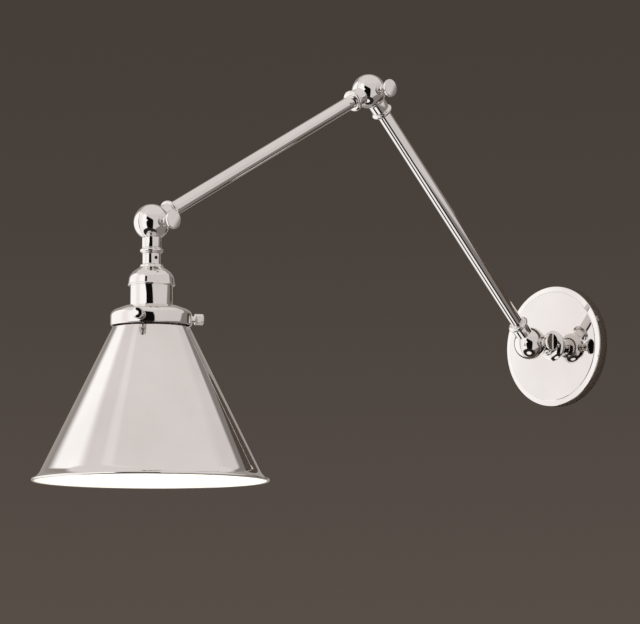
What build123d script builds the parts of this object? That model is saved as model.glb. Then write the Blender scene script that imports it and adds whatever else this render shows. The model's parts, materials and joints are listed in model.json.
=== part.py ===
"""Swing arm wall sconce with two arms, three clamped ball knuckles and a cone shade.

The frame: the origin is the centre of the backplate on the wall, +Z is up, and the lamp stands out along -Y.
Both arms lie in the plane x = 0. Every knuckle turns about an axis along X, and its thumb screw is on the +X side.
All sizes are millimetres and all angles degrees.
"""

from build123d import *
import os
from math import atan2, cos, radians, sin, sqrt, tan

os.makedirs("parts", exist_ok=True)

# ---------------------------------------------------------------- clearances
RUNNING = 0.05  # radial gap of a shaft that turns in a hole, or of a tube slipped into a socket
LOOSE = 0.2  # radial gap of a plain clearance hole
BIG = 400.0  # larger than any part, for half spaces

# ---------------------------------------------------------------- overall sizes
ARM_LENGTH = 328.0  # from knuckle centre to knuckle centre
LOWER_ELEVATION = 43.1  # of the lower arm above the horizontal, as it is stored
UPPER_ELEVATION = -28.2  # of the upper arm
HEAD_ELEVATION = -90.0  # of the shade's axis, which hangs plumb
STEM_ELEVATION = 180.0  # the wall stem points back at the wall

# ---------------------------------------------------------------- knuckles
BALL_R = 16.25
SEAM = 0.3  # gap between the two half balls
CAVITY_R = 12.4
NECK_R = 8.5
NECK_TOP = 23.0  # from the knuckle's centre to the end of its neck
NECK_CLEARANCE = 0.3  # between a neck's root and the half ball that turns under it
WIRE_BORE_R = 4.0
WIRE_BORE_START = 8.0
SOCKET_START = 17.5  # where a tube or nipple ends inside the neck
HUB_R = 4.5
HUB_WASHER_T = 1.0
CLAMP_R = 2.0  # shank of the thumb screw
CLAMP_END = 13.6  # how far the shank goes past the centre
CLAMP_HOLE_END = 14.2
SPOT_FACE_X = 15.0
SPOT_FACE_R = 5.9
KNOB_WASHER_R = 5.5
KNOB_WASHER_T = 1.2
KNOB_R = 8.4
KNOB_LENGTH = 12.4  # from its washer to the face that the thumb presses
KNOB_RIM_T = 2.8
KNOB_RIM_DROP = 0.8  # from the flaring neck's end out to the rim
KNOB_RIM_CHAMFER = 0.3
KNOB_EDGE_R = 0.6
KNOB_NECK_R = 3.4
KNOB_CONE_R = 3.7  # where the neck begins to flare
KNOB_BEAD_R = 4.3
KNOB_BEAD_START = 1.2
KNOB_BEAD_H = 2.4
KNOB_BEAD_CHAMFER = 0.4
WASHER_CHAMFER = 0.25
COLLAR_H = 5.2
COLLAR_R = 8.9
COLLAR_BEAD_R = 1.8
COLLAR_BEAD_INSET = 0.3  # of the bead's middle, inside the collar's face

# ---------------------------------------------------------------- tubes, nipples and wires
TUBE_R = 6.35
TUBE_WALL = 1.2
NIPPLE_R = 5.0
NIPPLE_BORE_R = 3.4
WIRE_R = 1.1
WIRE_SPACING = 2.8
WIRE_START = 17.0  # from a knuckle's centre to the end of a straight run of wire
WIRE_END_GAP = 0.3  # from the wall to the swivel's wires, and from the head's wires to the holder

# ---------------------------------------------------------------- wall mount
PLATE_R = 60.3
PLATE_DEPTH = 12.7
PLATE_WALL = 1.6
PLATE_BORDER = 6.0  # width of the sloping border round the flat face
PLATE_STEP = 0.5
PLATE_EDGE_DROP = 1.0
PLATE_EDGE_R = 0.8
PLATE_TO_BALL = 34.0  # from the plate's face to the centre of the wall knuckle
ROSETTE_R = 15.4
ROSETTE_RIM_H = 3.0
ROSETTE_TOP_R = 9.4
ROSETTE_BULGE_R = 1.3  # how far the dome stands out from its chord, and up
ROSETTE_BULGE_H = 0.7
SWIVEL_WASHER_T = 0.5
SWIVEL_WASHER_R = 8.4
NIPPLE_END = 5.3  # the nipple's inner end, above the wall
SPRING_WASHER_T = 1.0
STOP_WASHER_T = 1.0
STOP_WASHER_R = 8.5
STOP_SECTOR_R = 13.8
STOP_SECTOR_HALF = 82.0  # the swivel stops just past a quarter turn each way
NUT_ACROSS_FLATS = 14.0
NUT_T = 2.8
STOP_PIN_R = 1.5
STOP_PIN_H = 2.5
STOP_PIN_AT = 12.2
BAR_T = 1.5
BAR_WIDTH = 15.0
BAR_CORNER_R = 2.0
BOX_BAR_LENGTH = 105.0
BOX_SLOT_SPACING = 88.9
BOX_SLOT_LENGTH = 12.0
BOX_SLOT_R = 2.3
CANOPY_BAR_GAP = 0.8  # between a tab of the canopy bar and the inside of the plate's wall
TAB_TOP = 10.0
SIDE_SCREW_ANGLE = 24.0  # above +X, and the second is opposite
SIDE_SCREW_Z = 6.4
SIDE_SCREW_R = 2.0
SIDE_SCREW_TIP = 1.0  # how far the screw goes past its tab
SIDE_HEAD_R = 3.3
SIDE_HEAD_T = 0.8
SIDE_SLOT_W = 0.8
EYELET_R = 7.0
EYELET_BORE_R = 5.8
EYELET_FLANGE_R = 8.6
EYELET_FLANGE_T = 0.5
GROUND_SCREW_AT = 24.0
GROUND_SCREW_R = 1.9
GROUND_HEAD_R = 3.6
GROUND_HEAD_H = 2.0
GROUND_SCREW_START = 0.3
GROUND_SLOT_W = 0.9
GROUND_SLOT_DEPTH = 0.8

# ---------------------------------------------------------------- socket, measured down from the head knuckle
CAP_NECK_R = 8.15
CAP_NECK_END = 38.0
CAP_FLARE_R = 10.15
CAP_FLARE_END = 40.6
CAP_R = 20.7
CAP_SHOULDER = 48.0
CAP_END = 57.0
CAP_ROUNDINGS = (1.0, 1.0, 1.5)
CAP_LIP_R = 0.7
CAP_LIP_OUT = 0.3
GRUB_Z = 32.4
GRUB_R = 1.5
GRUB_AZIMUTH = 75.0  # from -Y towards +X
GRUB_RECESS = 0.5
GRUB_TIP_GAP = 0.1
GRUB_KEY_R = 0.9
GRUB_KEY_DEPTH = 1.4
HEAD_NIPPLE_END = 37.0
SHELL_R = 18.85
SHELL_WALL = 0.8
SHELL_START = 50.5
SHELL_END = 90.0
HOLDER_START = 51.5
HOLDER_END = 66.0
SCREW_SHELL_R = 14.3
SCREW_SHELL_WALL = 0.5
SCREW_SHELL_END = 88.0
SCREW_SHELL_HOLE_R = 6.0
SCREW_SHELL_THREAD_START = 4.0
SCREW_SHELL_THREAD_STOP = 2.0  # from the last thread to the open end
LINER_WALL = 0.5
LINER_SHORT = 1.0  # how far the liner ends inside the shell
CONTACT_R = 3.0
CONTACT_H = 1.5
WIRE_DEPTH = 6.0
TERMINAL_AT = 10.5
TERMINAL_R = 1.6
TERMINAL_HEAD_R = 2.8
TERMINAL_HEAD_H = 1.6
TERMINAL_SEAT = 3.0
TERMINAL_HOLE = 9.0
TERMINAL_END = 8.5
TERMINAL_SLOT_W = 0.8
TERMINAL_SLOT_DEPTH = 0.6

# ---------------------------------------------------------------- shade fitter and its screws
FITTER_TOP = 75.2
FITTER_FLAT_R = 22.8
FITTER_SHOULDER_R = 33.8
FITTER_SHOULDER_Z = 79.2
FITTER_R = 36.4
FITTER_BAND_START = 82.4
FITTER_END = 93.2
FITTER_WALL = 1.3
FITTER_LIP = 1.0
FITTER_ROUNDINGS = (1.0, 2.5, 2.0, 0.8)
RING_R = 22.4
RING_H = 4.5
RING_GAP = 0.1
RING_NOTCH_R = 1.2
RING_NOTCH_DEPTH = 2.0
RING_NOTCHES = 6
FITTER_SCREW_Z = 86.0
FITTER_SCREW_R = 1.8
FITTER_SCREW_AZIMUTHS = (30.0, 150.0, 270.0)  # from -Y towards +X
FITTER_SCREW_NECK_R = 2.9
FITTER_SCREW_HEAD_R = 5.0
FITTER_SCREW_HEAD_START = 40.0
FITTER_SCREW_END = 47.4
FITTER_SCREW_CHAMFER = 0.5
FITTER_SCREW_GAP = 0.4  # between the fitter and the screw's neck
KNURLS = 22
KNURL_R = 0.45
KNURL_OUT = 0.1  # of a groove's middle, outside the head

# ---------------------------------------------------------------- shade
SHADE_WALL = 1.0
SHADE_NECK_R = 31.6
SHADE_LIP_R = 33.2
SHADE_LIP_Z = 82.9
SHADE_LIP_H = 0.9
SHADE_NECK_END = 92.4
SHADE_TOP_R = 34.2
SHADE_TOP_Z = 94.0
SHADE_HALF_ANGLE = 26.2
SHADE_MOUTH_R = 99.3
SHADE_FLANGE_R = 104.3
SHADE_FLANGE_DROP = 4.4
SHADE_ROLL_R = 1.3
SHADE_ROUNDINGS = (0.6, 0.8, 1.0, 4.0)

# ---------------------------------------------------------------- lamp bulb
BULB_TIP = HOLDER_END + CONTACT_H
BULB_TIP_R = 2.2
BULB_TIP_H = 1.0
BULB_RING_R = 4.8
BULB_RING_END_R = 11.0
BULB_RING_H = 3.0
BULB_CAP_R = 12.6
BULB_CAP_WALL = 0.4
BULB_CAP_H = 21.0
BULB_THREAD_R = 0.45
BULB_THREAD_PITCH = 3.6
BULB_THREAD_START = 2.0
BULB_THREAD_STOP = 4.0  # from the last thread to the cap's end
BULB_R = 30.0
BULB_LENGTH = 105.0
BULB_GLASS_WALL = 1.0
BULB_GLASS_IN_CAP = 3.0
BULB_NECK_H = 1.0  # of the straight neck outside the cap

# ---------------------------------------------------------------- frames
WALL_BALL_Z = PLATE_DEPTH + PLATE_TO_BALL


def direction(elevation):
    """Unit vector in the plane x = 0 that points out from the wall at an elevation."""
    return Vector(0, -cos(radians(elevation)), sin(radians(elevation)))


def aimed(centre, elevation):
    """Frame at a knuckle's centre, with +Z along a neck of that elevation and X kept."""
    return Location((centre.X, centre.Y, centre.Z)) * Rot(90 - elevation, 0, 0)


wall_ball = Vector(0, -WALL_BALL_Z, 0)
elbow_ball = wall_ball + direction(LOWER_ELEVATION) * ARM_LENGTH
head_ball = elbow_ball + direction(UPPER_ELEVATION) * ARM_LENGTH

ON_WALL = Rot(90, 0, 0)  # +Z out of the wall, +Y up
STEM = aimed(wall_ball, STEM_ELEVATION)
LOWER_START = aimed(wall_ball, LOWER_ELEVATION)
LOWER_END = aimed(elbow_ball, LOWER_ELEVATION + 180)
UPPER_START = aimed(elbow_ball, UPPER_ELEVATION)
UPPER_END = aimed(head_ball, UPPER_ELEVATION + 180)
HEAD = aimed(head_ball, HEAD_ELEVATION)
WALL_PIVOT = Location((wall_ball.X, wall_ball.Y, wall_ball.Z))
ELBOW_PIVOT = Location((elbow_ball.X, elbow_ball.Y, elbow_ball.Z))
HEAD_PIVOT = Location((head_ball.X, head_ball.Y, head_ball.Z))


def save(name, shape, place=Location()):
    """Writes one node, moved into the object's frame."""
    moved = place * shape
    export_step(Compound(children=list(moved.solids())), f"parts/{name}.step")


# ---------------------------------------------------------------- shared shapes
def rod(radius, start, end):
    """Solid cylinder on the Z axis."""
    return Pos(0, 0, (start + end) / 2) * Cylinder(radius, end - start)


def pipe(outer, inner, start, end):
    """Tube on the Z axis."""
    return rod(outer, start, end) - rod(inner, start, end)


def along_x(shape, side=1):
    """Turns a shape on +Z to lie on +X or -X."""
    return Rot(0, 90 * side, 0) * shape


def turned(*points):
    """Solid of revolution about Z from a closed outline of (radius, z) points."""
    return revolve(make_face(Plane.XZ * Polyline(*points, close=True)), Axis.Z)


def spun_line(points, radii):
    """Line of (radius, z) points with a rounding of its own at each inner corner."""
    line = Polyline(*points)
    for point, radius in zip(points[1:-1], radii):
        corner = line.vertices().sort_by_distance(Vector(*point))[0]
        line = fillet(corner, radius)
    return line


def spun_sheet(face_line, wall):
    """Sheet of even wall spun about Z, from the line of its outer face, drawn downwards."""
    return revolve(Plane.XZ * make_face(offset(face_line, amount=wall, side=Side.LEFT)), Axis.Z)


def torus_ring(major, minor, z):
    """Bead that stands round the Z axis."""
    return Pos(0, 0, z) * Torus(major, minor)


def radial(shape, azimuth):
    """Turns a shape on +X to an azimuth from -Y towards +X, in the head's frame, whose +Y is the row's -Y."""
    return Rot(0, 0, 90 - azimuth) * shape


# ---------------------------------------------------------------- knuckles
def half_ball(radius, start, side):
    """Half ball about the X axis, from a flat face at a distance from its centre."""
    rim = sqrt(radius**2 - start**2)
    on_arc = (radius * sin(radians(45)), radius * cos(radians(45)))
    flat = Line((0, start), (rim, start))
    arc = ThreePointArc((rim, start), on_arc, (0, radius))
    face = make_face(Wire([flat.edge(), arc.edge(), Line((0, radius), (0, start)).edge()]))
    return along_x(revolve(Plane.XZ * face, Axis.Z), side)


def half_knuckle(side, socket_r):
    """Half ball on the +X or -X side with its neck along +Z. The neck's far side stands clear of the other half."""
    own_half = Pos(side * (SEAM / 2 + BIG / 2), 0, 0) * Box(BIG, BIG, BIG)
    neck = rod(NECK_R, 0, NECK_TOP)
    body = half_ball(BALL_R, SEAM / 2, side) + (neck & own_half)
    body += neck - Rot(0, 90, 0) * Sphere(BALL_R + NECK_CLEARANCE)
    hub = along_x(rod(HUB_R, HUB_WASHER_T / 2, CAVITY_R + 1), side)
    body = body - half_ball(CAVITY_R, 0, side) + hub
    body -= rod(WIRE_BORE_R, WIRE_BORE_START, NECK_TOP)
    body -= rod(socket_r + RUNNING, SOCKET_START, NECK_TOP)
    if side > 0:
        body -= along_x(rod(CLAMP_R + LOOSE, 0, BALL_R))
        return body - along_x(rod(SPOT_FACE_R, SPOT_FACE_X, BALL_R + 1))
    return body - along_x(rod(CLAMP_R + RUNNING, 0, CLAMP_HOLE_END), side)


def hub_washer():
    """Fibre washer between the hubs of the two halves."""
    ring = pipe(HUB_R, CLAMP_R + LOOSE, -HUB_WASHER_T / 2, HUB_WASHER_T / 2)
    return along_x(ring)


def knob_washer():
    """Washer between the half ball and the thumb screw."""
    ring = pipe(KNOB_WASHER_R, CLAMP_R + LOOSE, SPOT_FACE_X, SPOT_FACE_X + KNOB_WASHER_T)
    return along_x(chamfer(ring.edges().filter_by(GeomType.CIRCLE).sort_by(SortBy.RADIUS)[-2:], WASHER_CHAMFER))


def thumb_screw():
    """Thumb screw on the X axis: shank, bead, flaring neck and flat round head."""
    start = SPOT_FACE_X + KNOB_WASHER_T
    end = start + KNOB_LENGTH
    rim = end - KNOB_RIM_T
    bead_start = start + KNOB_BEAD_START
    bead_end = bead_start + KNOB_BEAD_H
    head = turned(
        (0, start), (KNOB_NECK_R, start), (KNOB_NECK_R, bead_start), (KNOB_BEAD_R, bead_start + KNOB_BEAD_CHAMFER),
        (KNOB_BEAD_R, bead_end - KNOB_BEAD_CHAMFER), (KNOB_CONE_R, bead_end), (KNOB_R - KNOB_RIM_DROP, rim),
        (KNOB_R, rim + KNOB_RIM_CHAMFER), (KNOB_R, end), (0, end),
    )
    rims = head.edges().filter_by(GeomType.CIRCLE).group_by(Axis.Z)[-1]
    head = fillet(rims, KNOB_EDGE_R)
    return along_x(head + rod(CLAMP_R, -CLAMP_END, start))


def collar(bore_r):
    """Beaded collar that sits on the end of a neck, with +Z away from the ball."""
    middle = NECK_TOP + COLLAR_H / 2
    ring = rod(COLLAR_R, NECK_TOP, NECK_TOP + COLLAR_H) + torus_ring(COLLAR_R - COLLAR_BEAD_INSET, COLLAR_BEAD_R, middle)
    return ring - rod(bore_r + RUNNING, NECK_TOP - 1, NECK_TOP + COLLAR_H + 1)


def wires(start, end):
    """Two insulated wires side by side along Z."""
    wire = rod(WIRE_R, start, end)
    return Pos(WIRE_SPACING / 2, 0, 0) * wire + Pos(-WIRE_SPACING / 2, 0, 0) * wire


# ---------------------------------------------------------------- wall mount, in the frame with +Z out of the wall
def backplate():
    """Round cup that covers the box, with a flat face, a stepped sloping border and holes for the side screws."""
    face_r = PLATE_R - PLATE_BORDER
    cup = turned(
        (0, 0), (PLATE_R, 0), (PLATE_R, PLATE_DEPTH - PLATE_STEP - PLATE_EDGE_DROP),
        (face_r, PLATE_DEPTH - PLATE_STEP), (face_r, PLATE_DEPTH), (0, PLATE_DEPTH),
    )
    edge = cup.edges().filter_by(GeomType.CIRCLE).filter_by(lambda e: abs(e.radius - PLATE_R) < 1e-3)
    cup = fillet(edge.sort_by(Axis.Z)[-1], PLATE_EDGE_R)
    cup -= rod(PLATE_R - PLATE_WALL, 0, PLATE_DEPTH - PLATE_STEP - PLATE_WALL)
    cup -= rod(NIPPLE_R + RUNNING, 0, PLATE_DEPTH)
    for turn in (0, 180):
        hole = along_x(rod(SIDE_SCREW_R + LOOSE, 0, PLATE_R + 1))
        cup -= Rot(0, 0, SIDE_SCREW_ANGLE + turn) * Pos(0, 0, SIDE_SCREW_Z) * hole
    return cup


PLATE_INSIDE = PLATE_DEPTH - PLATE_STEP - PLATE_WALL  # height of the cup's inner face above the wall
ROSETTE_TOP = WALL_BALL_Z - NECK_TOP - COLLAR_H - SWIVEL_WASHER_T


def rosette():
    """Turned boss on the plate's face that the wall knuckle turns on."""
    rim_z = PLATE_DEPTH + ROSETTE_RIM_H
    bulge = ((ROSETTE_R + ROSETTE_TOP_R) / 2 + ROSETTE_BULGE_R, (rim_z + ROSETTE_TOP) / 2 + ROSETTE_BULGE_H)
    outline = (
        Line((0, PLATE_DEPTH), (ROSETTE_R, PLATE_DEPTH))
        + Line((ROSETTE_R, PLATE_DEPTH), (ROSETTE_R, rim_z))
        + ThreePointArc((ROSETTE_R, rim_z), bulge, (ROSETTE_TOP_R, ROSETTE_TOP))
        + Line((ROSETTE_TOP_R, ROSETTE_TOP), (0, ROSETTE_TOP))
        + Line((0, ROSETTE_TOP), (0, PLATE_DEPTH))
    )
    boss = revolve(Plane.XZ * make_face(outline), Axis.Z)
    return boss - rod(NIPPLE_R + RUNNING, PLATE_DEPTH - 1, ROSETTE_TOP + 1)


def box_bar():
    """Strip that screws to the wall box through two slots."""
    bar = Pos(0, 0, BAR_T / 2) * Box(BOX_BAR_LENGTH, BAR_WIDTH, BAR_T)
    bar = fillet(bar.edges().filter_by(Axis.Z), BAR_CORNER_R)
    for side in (-1, 1):
        slot = extrude(SlotOverall(BOX_SLOT_LENGTH, 2 * BOX_SLOT_R), BAR_T)
        bar -= Pos(side * BOX_SLOT_SPACING / 2, 0, 0) * slot
    return bar - rod(EYELET_R, 0, BAR_T)


def canopy_bar():
    """Strip that turns on the box bar and takes the plate's side screws in its bent tabs."""
    tab_x = PLATE_R - PLATE_WALL - CANOPY_BAR_GAP - BAR_T / 2
    bar = Pos(0, 0, 1.5 * BAR_T) * Box(2 * tab_x + BAR_T, BAR_WIDTH, BAR_T)
    for side in (-1, 1):
        bar += Pos(side * tab_x, 0, (BAR_T + TAB_TOP) / 2) * Box(BAR_T, BAR_WIDTH, TAB_TOP - BAR_T)
    bar -= rod(EYELET_R, BAR_T, 2 * BAR_T)
    bar -= Pos(0, 0, SIDE_SCREW_Z) * Rot(0, 90, 0) * Cylinder(SIDE_SCREW_R + RUNNING, BIG)
    bar -= Pos(GROUND_SCREW_AT, 0, 0) * rod(GROUND_SCREW_R + RUNNING, BAR_T, 2 * BAR_T)
    return Rot(0, 0, SIDE_SCREW_ANGLE) * bar


def crossbar_eyelet():
    """Hollow rivet that joins the two bars and lets the wires through."""
    body = rod(EYELET_R - RUNNING, 0, 2 * BAR_T) + rod(EYELET_FLANGE_R, 2 * BAR_T, 2 * BAR_T + EYELET_FLANGE_T)
    return body - rod(EYELET_BORE_R, 0, 2 * BAR_T + EYELET_FLANGE_T)


def side_screws():
    """Two slotted screws that hold the plate to the tabs of the canopy bar."""
    tab_inside = PLATE_R - PLATE_WALL - CANOPY_BAR_GAP - BAR_T
    pair = []
    for turn in (0, 180):
        top = PLATE_R + SIDE_HEAD_T
        screw = rod(SIDE_SCREW_R, tab_inside - SIDE_SCREW_TIP, PLATE_R) + rod(SIDE_HEAD_R, PLATE_R, top)
        screw -= Pos(0, 0, top) * Box(2 * SIDE_HEAD_R, SIDE_SLOT_W, SIDE_HEAD_T)
        pair.append(Rot(0, 0, SIDE_SCREW_ANGLE + turn) * Pos(0, 0, SIDE_SCREW_Z) * along_x(screw))
    return pair[0] + pair[1]


def ground_screw():
    """Green earth screw on the canopy bar."""
    head_z = 2 * BAR_T
    top = head_z + GROUND_HEAD_H
    screw = rod(GROUND_SCREW_R, GROUND_SCREW_START, head_z) + rod(GROUND_HEAD_R, head_z, top)
    screw -= Pos(0, 0, top) * Box(2 * GROUND_HEAD_R, GROUND_SLOT_W, 2 * GROUND_SLOT_DEPTH)
    return Rot(0, 0, SIDE_SCREW_ANGLE) * Pos(GROUND_SCREW_AT, 0, 0) * screw


def stop_pin():
    """Stud inside the plate that ends the swivel's travel."""
    return Pos(0, -STOP_PIN_AT, 0) * rod(STOP_PIN_R, PLATE_INSIDE - STOP_PIN_H, PLATE_INSIDE)


def spring_washer():
    """Washer that presses the swivel together inside the plate."""
    return pipe(STOP_WASHER_R, NIPPLE_R + RUNNING, PLATE_INSIDE - SPRING_WASHER_T, PLATE_INSIDE)


def stop_washer():
    """Washer that turns with the nipple. The ends of its wide sector meet the stop pin."""
    top = PLATE_INSIDE - SPRING_WASHER_T
    bottom = top - STOP_WASHER_T
    sector = rod(STOP_SECTOR_R, bottom, top)
    far = STOP_SECTOR_R * 3
    left = (far * sin(radians(-STOP_SECTOR_HALF)), far * cos(radians(STOP_SECTOR_HALF)))
    right = (-left[0], left[1])
    wedge = extrude(make_face(Polyline((0, 0), right, (far, far), (-far, far), left, close=True)), BIG)
    washer = rod(STOP_WASHER_R, bottom, top) + (sector & wedge)
    return washer - rod(NIPPLE_R + RUNNING, bottom, top)


def nipple_nut():
    """Thin hexagon nut on the nipple."""
    top = PLATE_INSIDE - SPRING_WASHER_T - STOP_WASHER_T
    hexagon = extrude(RegularPolygon(NUT_ACROSS_FLATS / 2, 6, major_radius=False), NUT_T)
    return Pos(0, 0, top - NUT_T) * hexagon - rod(NIPPLE_R + RUNNING, top - NUT_T, top)


def wall_nipple():
    """Hollow threaded nipple from inside the plate to the wall knuckle's neck."""
    return pipe(NIPPLE_R, NIPPLE_BORE_R, NIPPLE_END, WALL_BALL_Z - SOCKET_START)


def swivel_washer():
    """Fibre washer between the rosette and the stem's collar."""
    return pipe(SWIVEL_WASHER_R, NIPPLE_R + RUNNING, ROSETTE_TOP, ROSETTE_TOP + SWIVEL_WASHER_T)


# ---------------------------------------------------------------- arms, along +Z from one knuckle to the next
def arm_tube():
    """Arm tube that ends inside the necks of two knuckles."""
    return pipe(TUBE_R, TUBE_R - TUBE_WALL, SOCKET_START, ARM_LENGTH - SOCKET_START)


# ---------------------------------------------------------------- head, with +Z down from the head knuckle
def socket_cap():
    """Spun cap of the socket with its neck and tapped hole for the grub screw."""
    top = NECK_TOP + COLLAR_H
    outline = [
        (CAP_NECK_R, top), (CAP_NECK_R, CAP_NECK_END), (CAP_FLARE_R, CAP_FLARE_END),
        (CAP_R, CAP_SHOULDER), (CAP_R, CAP_END),
    ]
    wall = CAP_R - SHELL_R - RUNNING
    cap = spun_sheet(spun_line(outline, CAP_ROUNDINGS), wall)
    cap += torus_ring(CAP_R - CAP_LIP_R + CAP_LIP_OUT, CAP_LIP_R, CAP_END - CAP_LIP_R)
    cap += pipe(CAP_NECK_R - wall / 2, NIPPLE_R + RUNNING, top, HEAD_NIPPLE_END + 1)
    return cap - radial(Pos(0, 0, GRUB_Z) * along_x(rod(GRUB_R + RUNNING, 0, CAP_R)), GRUB_AZIMUTH)


def grub_screw():
    """Hexagon socket grub screw in the cap's neck."""
    top = CAP_NECK_R - GRUB_RECESS
    screw = rod(GRUB_R, NIPPLE_R + GRUB_TIP_GAP, top)
    screw -= Pos(0, 0, top - GRUB_KEY_DEPTH) * extrude(RegularPolygon(GRUB_KEY_R, 6), GRUB_KEY_DEPTH)
    return radial(Pos(0, 0, GRUB_Z) * along_x(screw), GRUB_AZIMUTH)


def socket_shell():
    """Plain tube of the socket, from inside the cap to below the fitter, with a flange at its top."""
    tube = pipe(SHELL_R, SHELL_R - SHELL_WALL, SHELL_START, SHELL_END)
    return tube + pipe(SHELL_R, NIPPLE_R, SHELL_START, SHELL_START + SHELL_WALL)


def lamp_holder():
    """Porcelain block in the socket, with a way through for the wires and seats for the terminal screws."""
    block = rod(SHELL_R - SHELL_WALL - RUNNING, HOLDER_START, HOLDER_END)
    block -= rod(WIRE_SPACING / 2 + WIRE_R + LOOSE, HOLDER_START, HOLDER_START + WIRE_DEPTH)
    for side in (-1, 1):
        seat = rod(TERMINAL_HEAD_R + LOOSE, HOLDER_START, HOLDER_START + TERMINAL_SEAT)
        hole = rod(TERMINAL_R + RUNNING, HOLDER_START, HOLDER_START + TERMINAL_HOLE)
        block -= Pos(0, side * TERMINAL_AT, 0) * (seat + hole)
    return block


def terminal_screws():
    """Two brass screws that clamp the wires."""
    pair = []
    seat_z = HOLDER_START + TERMINAL_SEAT
    top = seat_z - TERMINAL_HEAD_H
    for side in (-1, 1):
        screw = rod(TERMINAL_R, seat_z, HOLDER_START + TERMINAL_END) + rod(TERMINAL_HEAD_R, top, seat_z)
        screw -= Pos(0, 0, top) * Box(2 * TERMINAL_HEAD_R, TERMINAL_SLOT_W, 2 * TERMINAL_SLOT_DEPTH)
        pair.append(Pos(0, side * TERMINAL_AT, 0) * screw)
    return pair[0] + pair[1]


def screw_shell():
    """Brass shell that the bulb screws into, with its rolled thread."""
    shell = pipe(SCREW_SHELL_R, SCREW_SHELL_R - SCREW_SHELL_WALL, HOLDER_END, SCREW_SHELL_END)
    shell += pipe(SCREW_SHELL_R, SCREW_SHELL_HOLE_R, HOLDER_END, HOLDER_END + SCREW_SHELL_WALL)
    z = HOLDER_END + SCREW_SHELL_THREAD_START
    while z < SCREW_SHELL_END - SCREW_SHELL_THREAD_STOP:
        shell += torus_ring(SCREW_SHELL_R, BULB_THREAD_R, z)
        z += BULB_THREAD_PITCH
    return shell


def centre_contact():
    """Sprung tongue that the bulb's tip presses."""
    return rod(CONTACT_R, HOLDER_END, HOLDER_END + CONTACT_H)


def socket_liner():
    """Insulating sleeve between the screw shell and the outer shell."""
    outer = SHELL_R - SHELL_WALL - RUNNING
    return pipe(outer, outer - LINER_WALL, HOLDER_END, SHELL_END - LINER_SHORT)


def shade_fitter():
    """Spun ring that clamps to the socket shell and holds the shade's neck with three screws."""
    outline = [
        (SHELL_R + RUNNING, FITTER_TOP), (FITTER_FLAT_R, FITTER_TOP), (FITTER_SHOULDER_R, FITTER_SHOULDER_Z),
        (FITTER_R, FITTER_BAND_START), (FITTER_R, FITTER_END - FITTER_LIP), (FITTER_R - FITTER_LIP, FITTER_END),
    ]
    cup = spun_sheet(spun_line(outline, FITTER_ROUNDINGS), FITTER_WALL)
    for azimuth in FITTER_SCREW_AZIMUTHS:
        cup -= radial(Pos(0, 0, FITTER_SCREW_Z) * along_x(rod(FITTER_SCREW_R + RUNNING, 0, 2 * FITTER_R)), azimuth)
    return cup


def fitter_ring():
    """Threaded ring that holds the fitter on the socket shell from below."""
    start = FITTER_TOP + FITTER_WALL
    ring = pipe(RING_R, SHELL_R + RUNNING, start + RING_GAP, start + RING_H)
    notch = Pos(RING_R, 0, start + RING_H) * Cylinder(RING_NOTCH_R, 2 * RING_NOTCH_DEPTH)
    for k in range(RING_NOTCHES):
        ring -= Rot(0, 0, k * 360 / RING_NOTCHES) * notch
    return ring


def fitter_screw(azimuth):
    """Knurled thumb screw whose tip holds the shade's neck under its lip."""
    screw = rod(FITTER_SCREW_R, SHADE_NECK_R + RUNNING, FITTER_R + 1)
    screw += rod(FITTER_SCREW_NECK_R, FITTER_R + FITTER_SCREW_GAP, FITTER_SCREW_HEAD_START)
    head = rod(FITTER_SCREW_HEAD_R, FITTER_SCREW_HEAD_START, FITTER_SCREW_END)
    head = chamfer(head.edges().filter_by(GeomType.CIRCLE), FITTER_SCREW_CHAMFER)
    middle = (FITTER_SCREW_HEAD_START + FITTER_SCREW_END) / 2
    groove = Pos(FITTER_SCREW_HEAD_R + KNURL_OUT, 0, middle) * Cylinder(KNURL_R, FITTER_SCREW_END)
    for k in range(KNURLS):
        head -= Rot(0, 0, k * 360 / KNURLS) * groove
    return radial(Pos(0, 0, FITTER_SCREW_Z) * along_x(screw + head), azimuth)


CONE_SLOPE = tan(radians(SHADE_HALF_ANGLE))
SHADE_MOUTH_Z = SHADE_TOP_Z + (SHADE_MOUTH_R - SHADE_TOP_R) / CONE_SLOPE


def shade():
    """Spun cone shade: lipped neck, cone, flared mouth and rolled edge."""
    flange_z = SHADE_MOUTH_Z + SHADE_FLANGE_DROP
    outline = [
        (SHADE_LIP_R, SHADE_LIP_Z), (SHADE_NECK_R, SHADE_LIP_Z + SHADE_LIP_H), (SHADE_NECK_R, SHADE_NECK_END),
        (SHADE_TOP_R, SHADE_TOP_Z), (SHADE_MOUTH_R, SHADE_MOUTH_Z), (SHADE_FLANGE_R, flange_z),
    ]
    sheet = spun_sheet(spun_line(outline, SHADE_ROUNDINGS), SHADE_WALL)
    return sheet + torus_ring(SHADE_FLANGE_R, SHADE_ROLL_R, flange_z - SHADE_WALL / 2)


# ---------------------------------------------------------------- lamp bulb, in the head's frame
BULB_CAP_START = BULB_TIP + BULB_TIP_H + BULB_RING_H
BULB_CAP_END = BULB_CAP_START + BULB_CAP_H


def bulb_contact():
    """Soldered contact at the bulb's tip."""
    return rod(BULB_TIP_R, BULB_TIP, BULB_TIP + BULB_TIP_H)


def bulb_insulator():
    """Dark glass ring between the bulb's contact and its threaded cap."""
    start = BULB_TIP + BULB_TIP_H
    return turned((0, start), (BULB_RING_R, start), (BULB_RING_END_R, BULB_CAP_START), (0, BULB_CAP_START))


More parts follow.
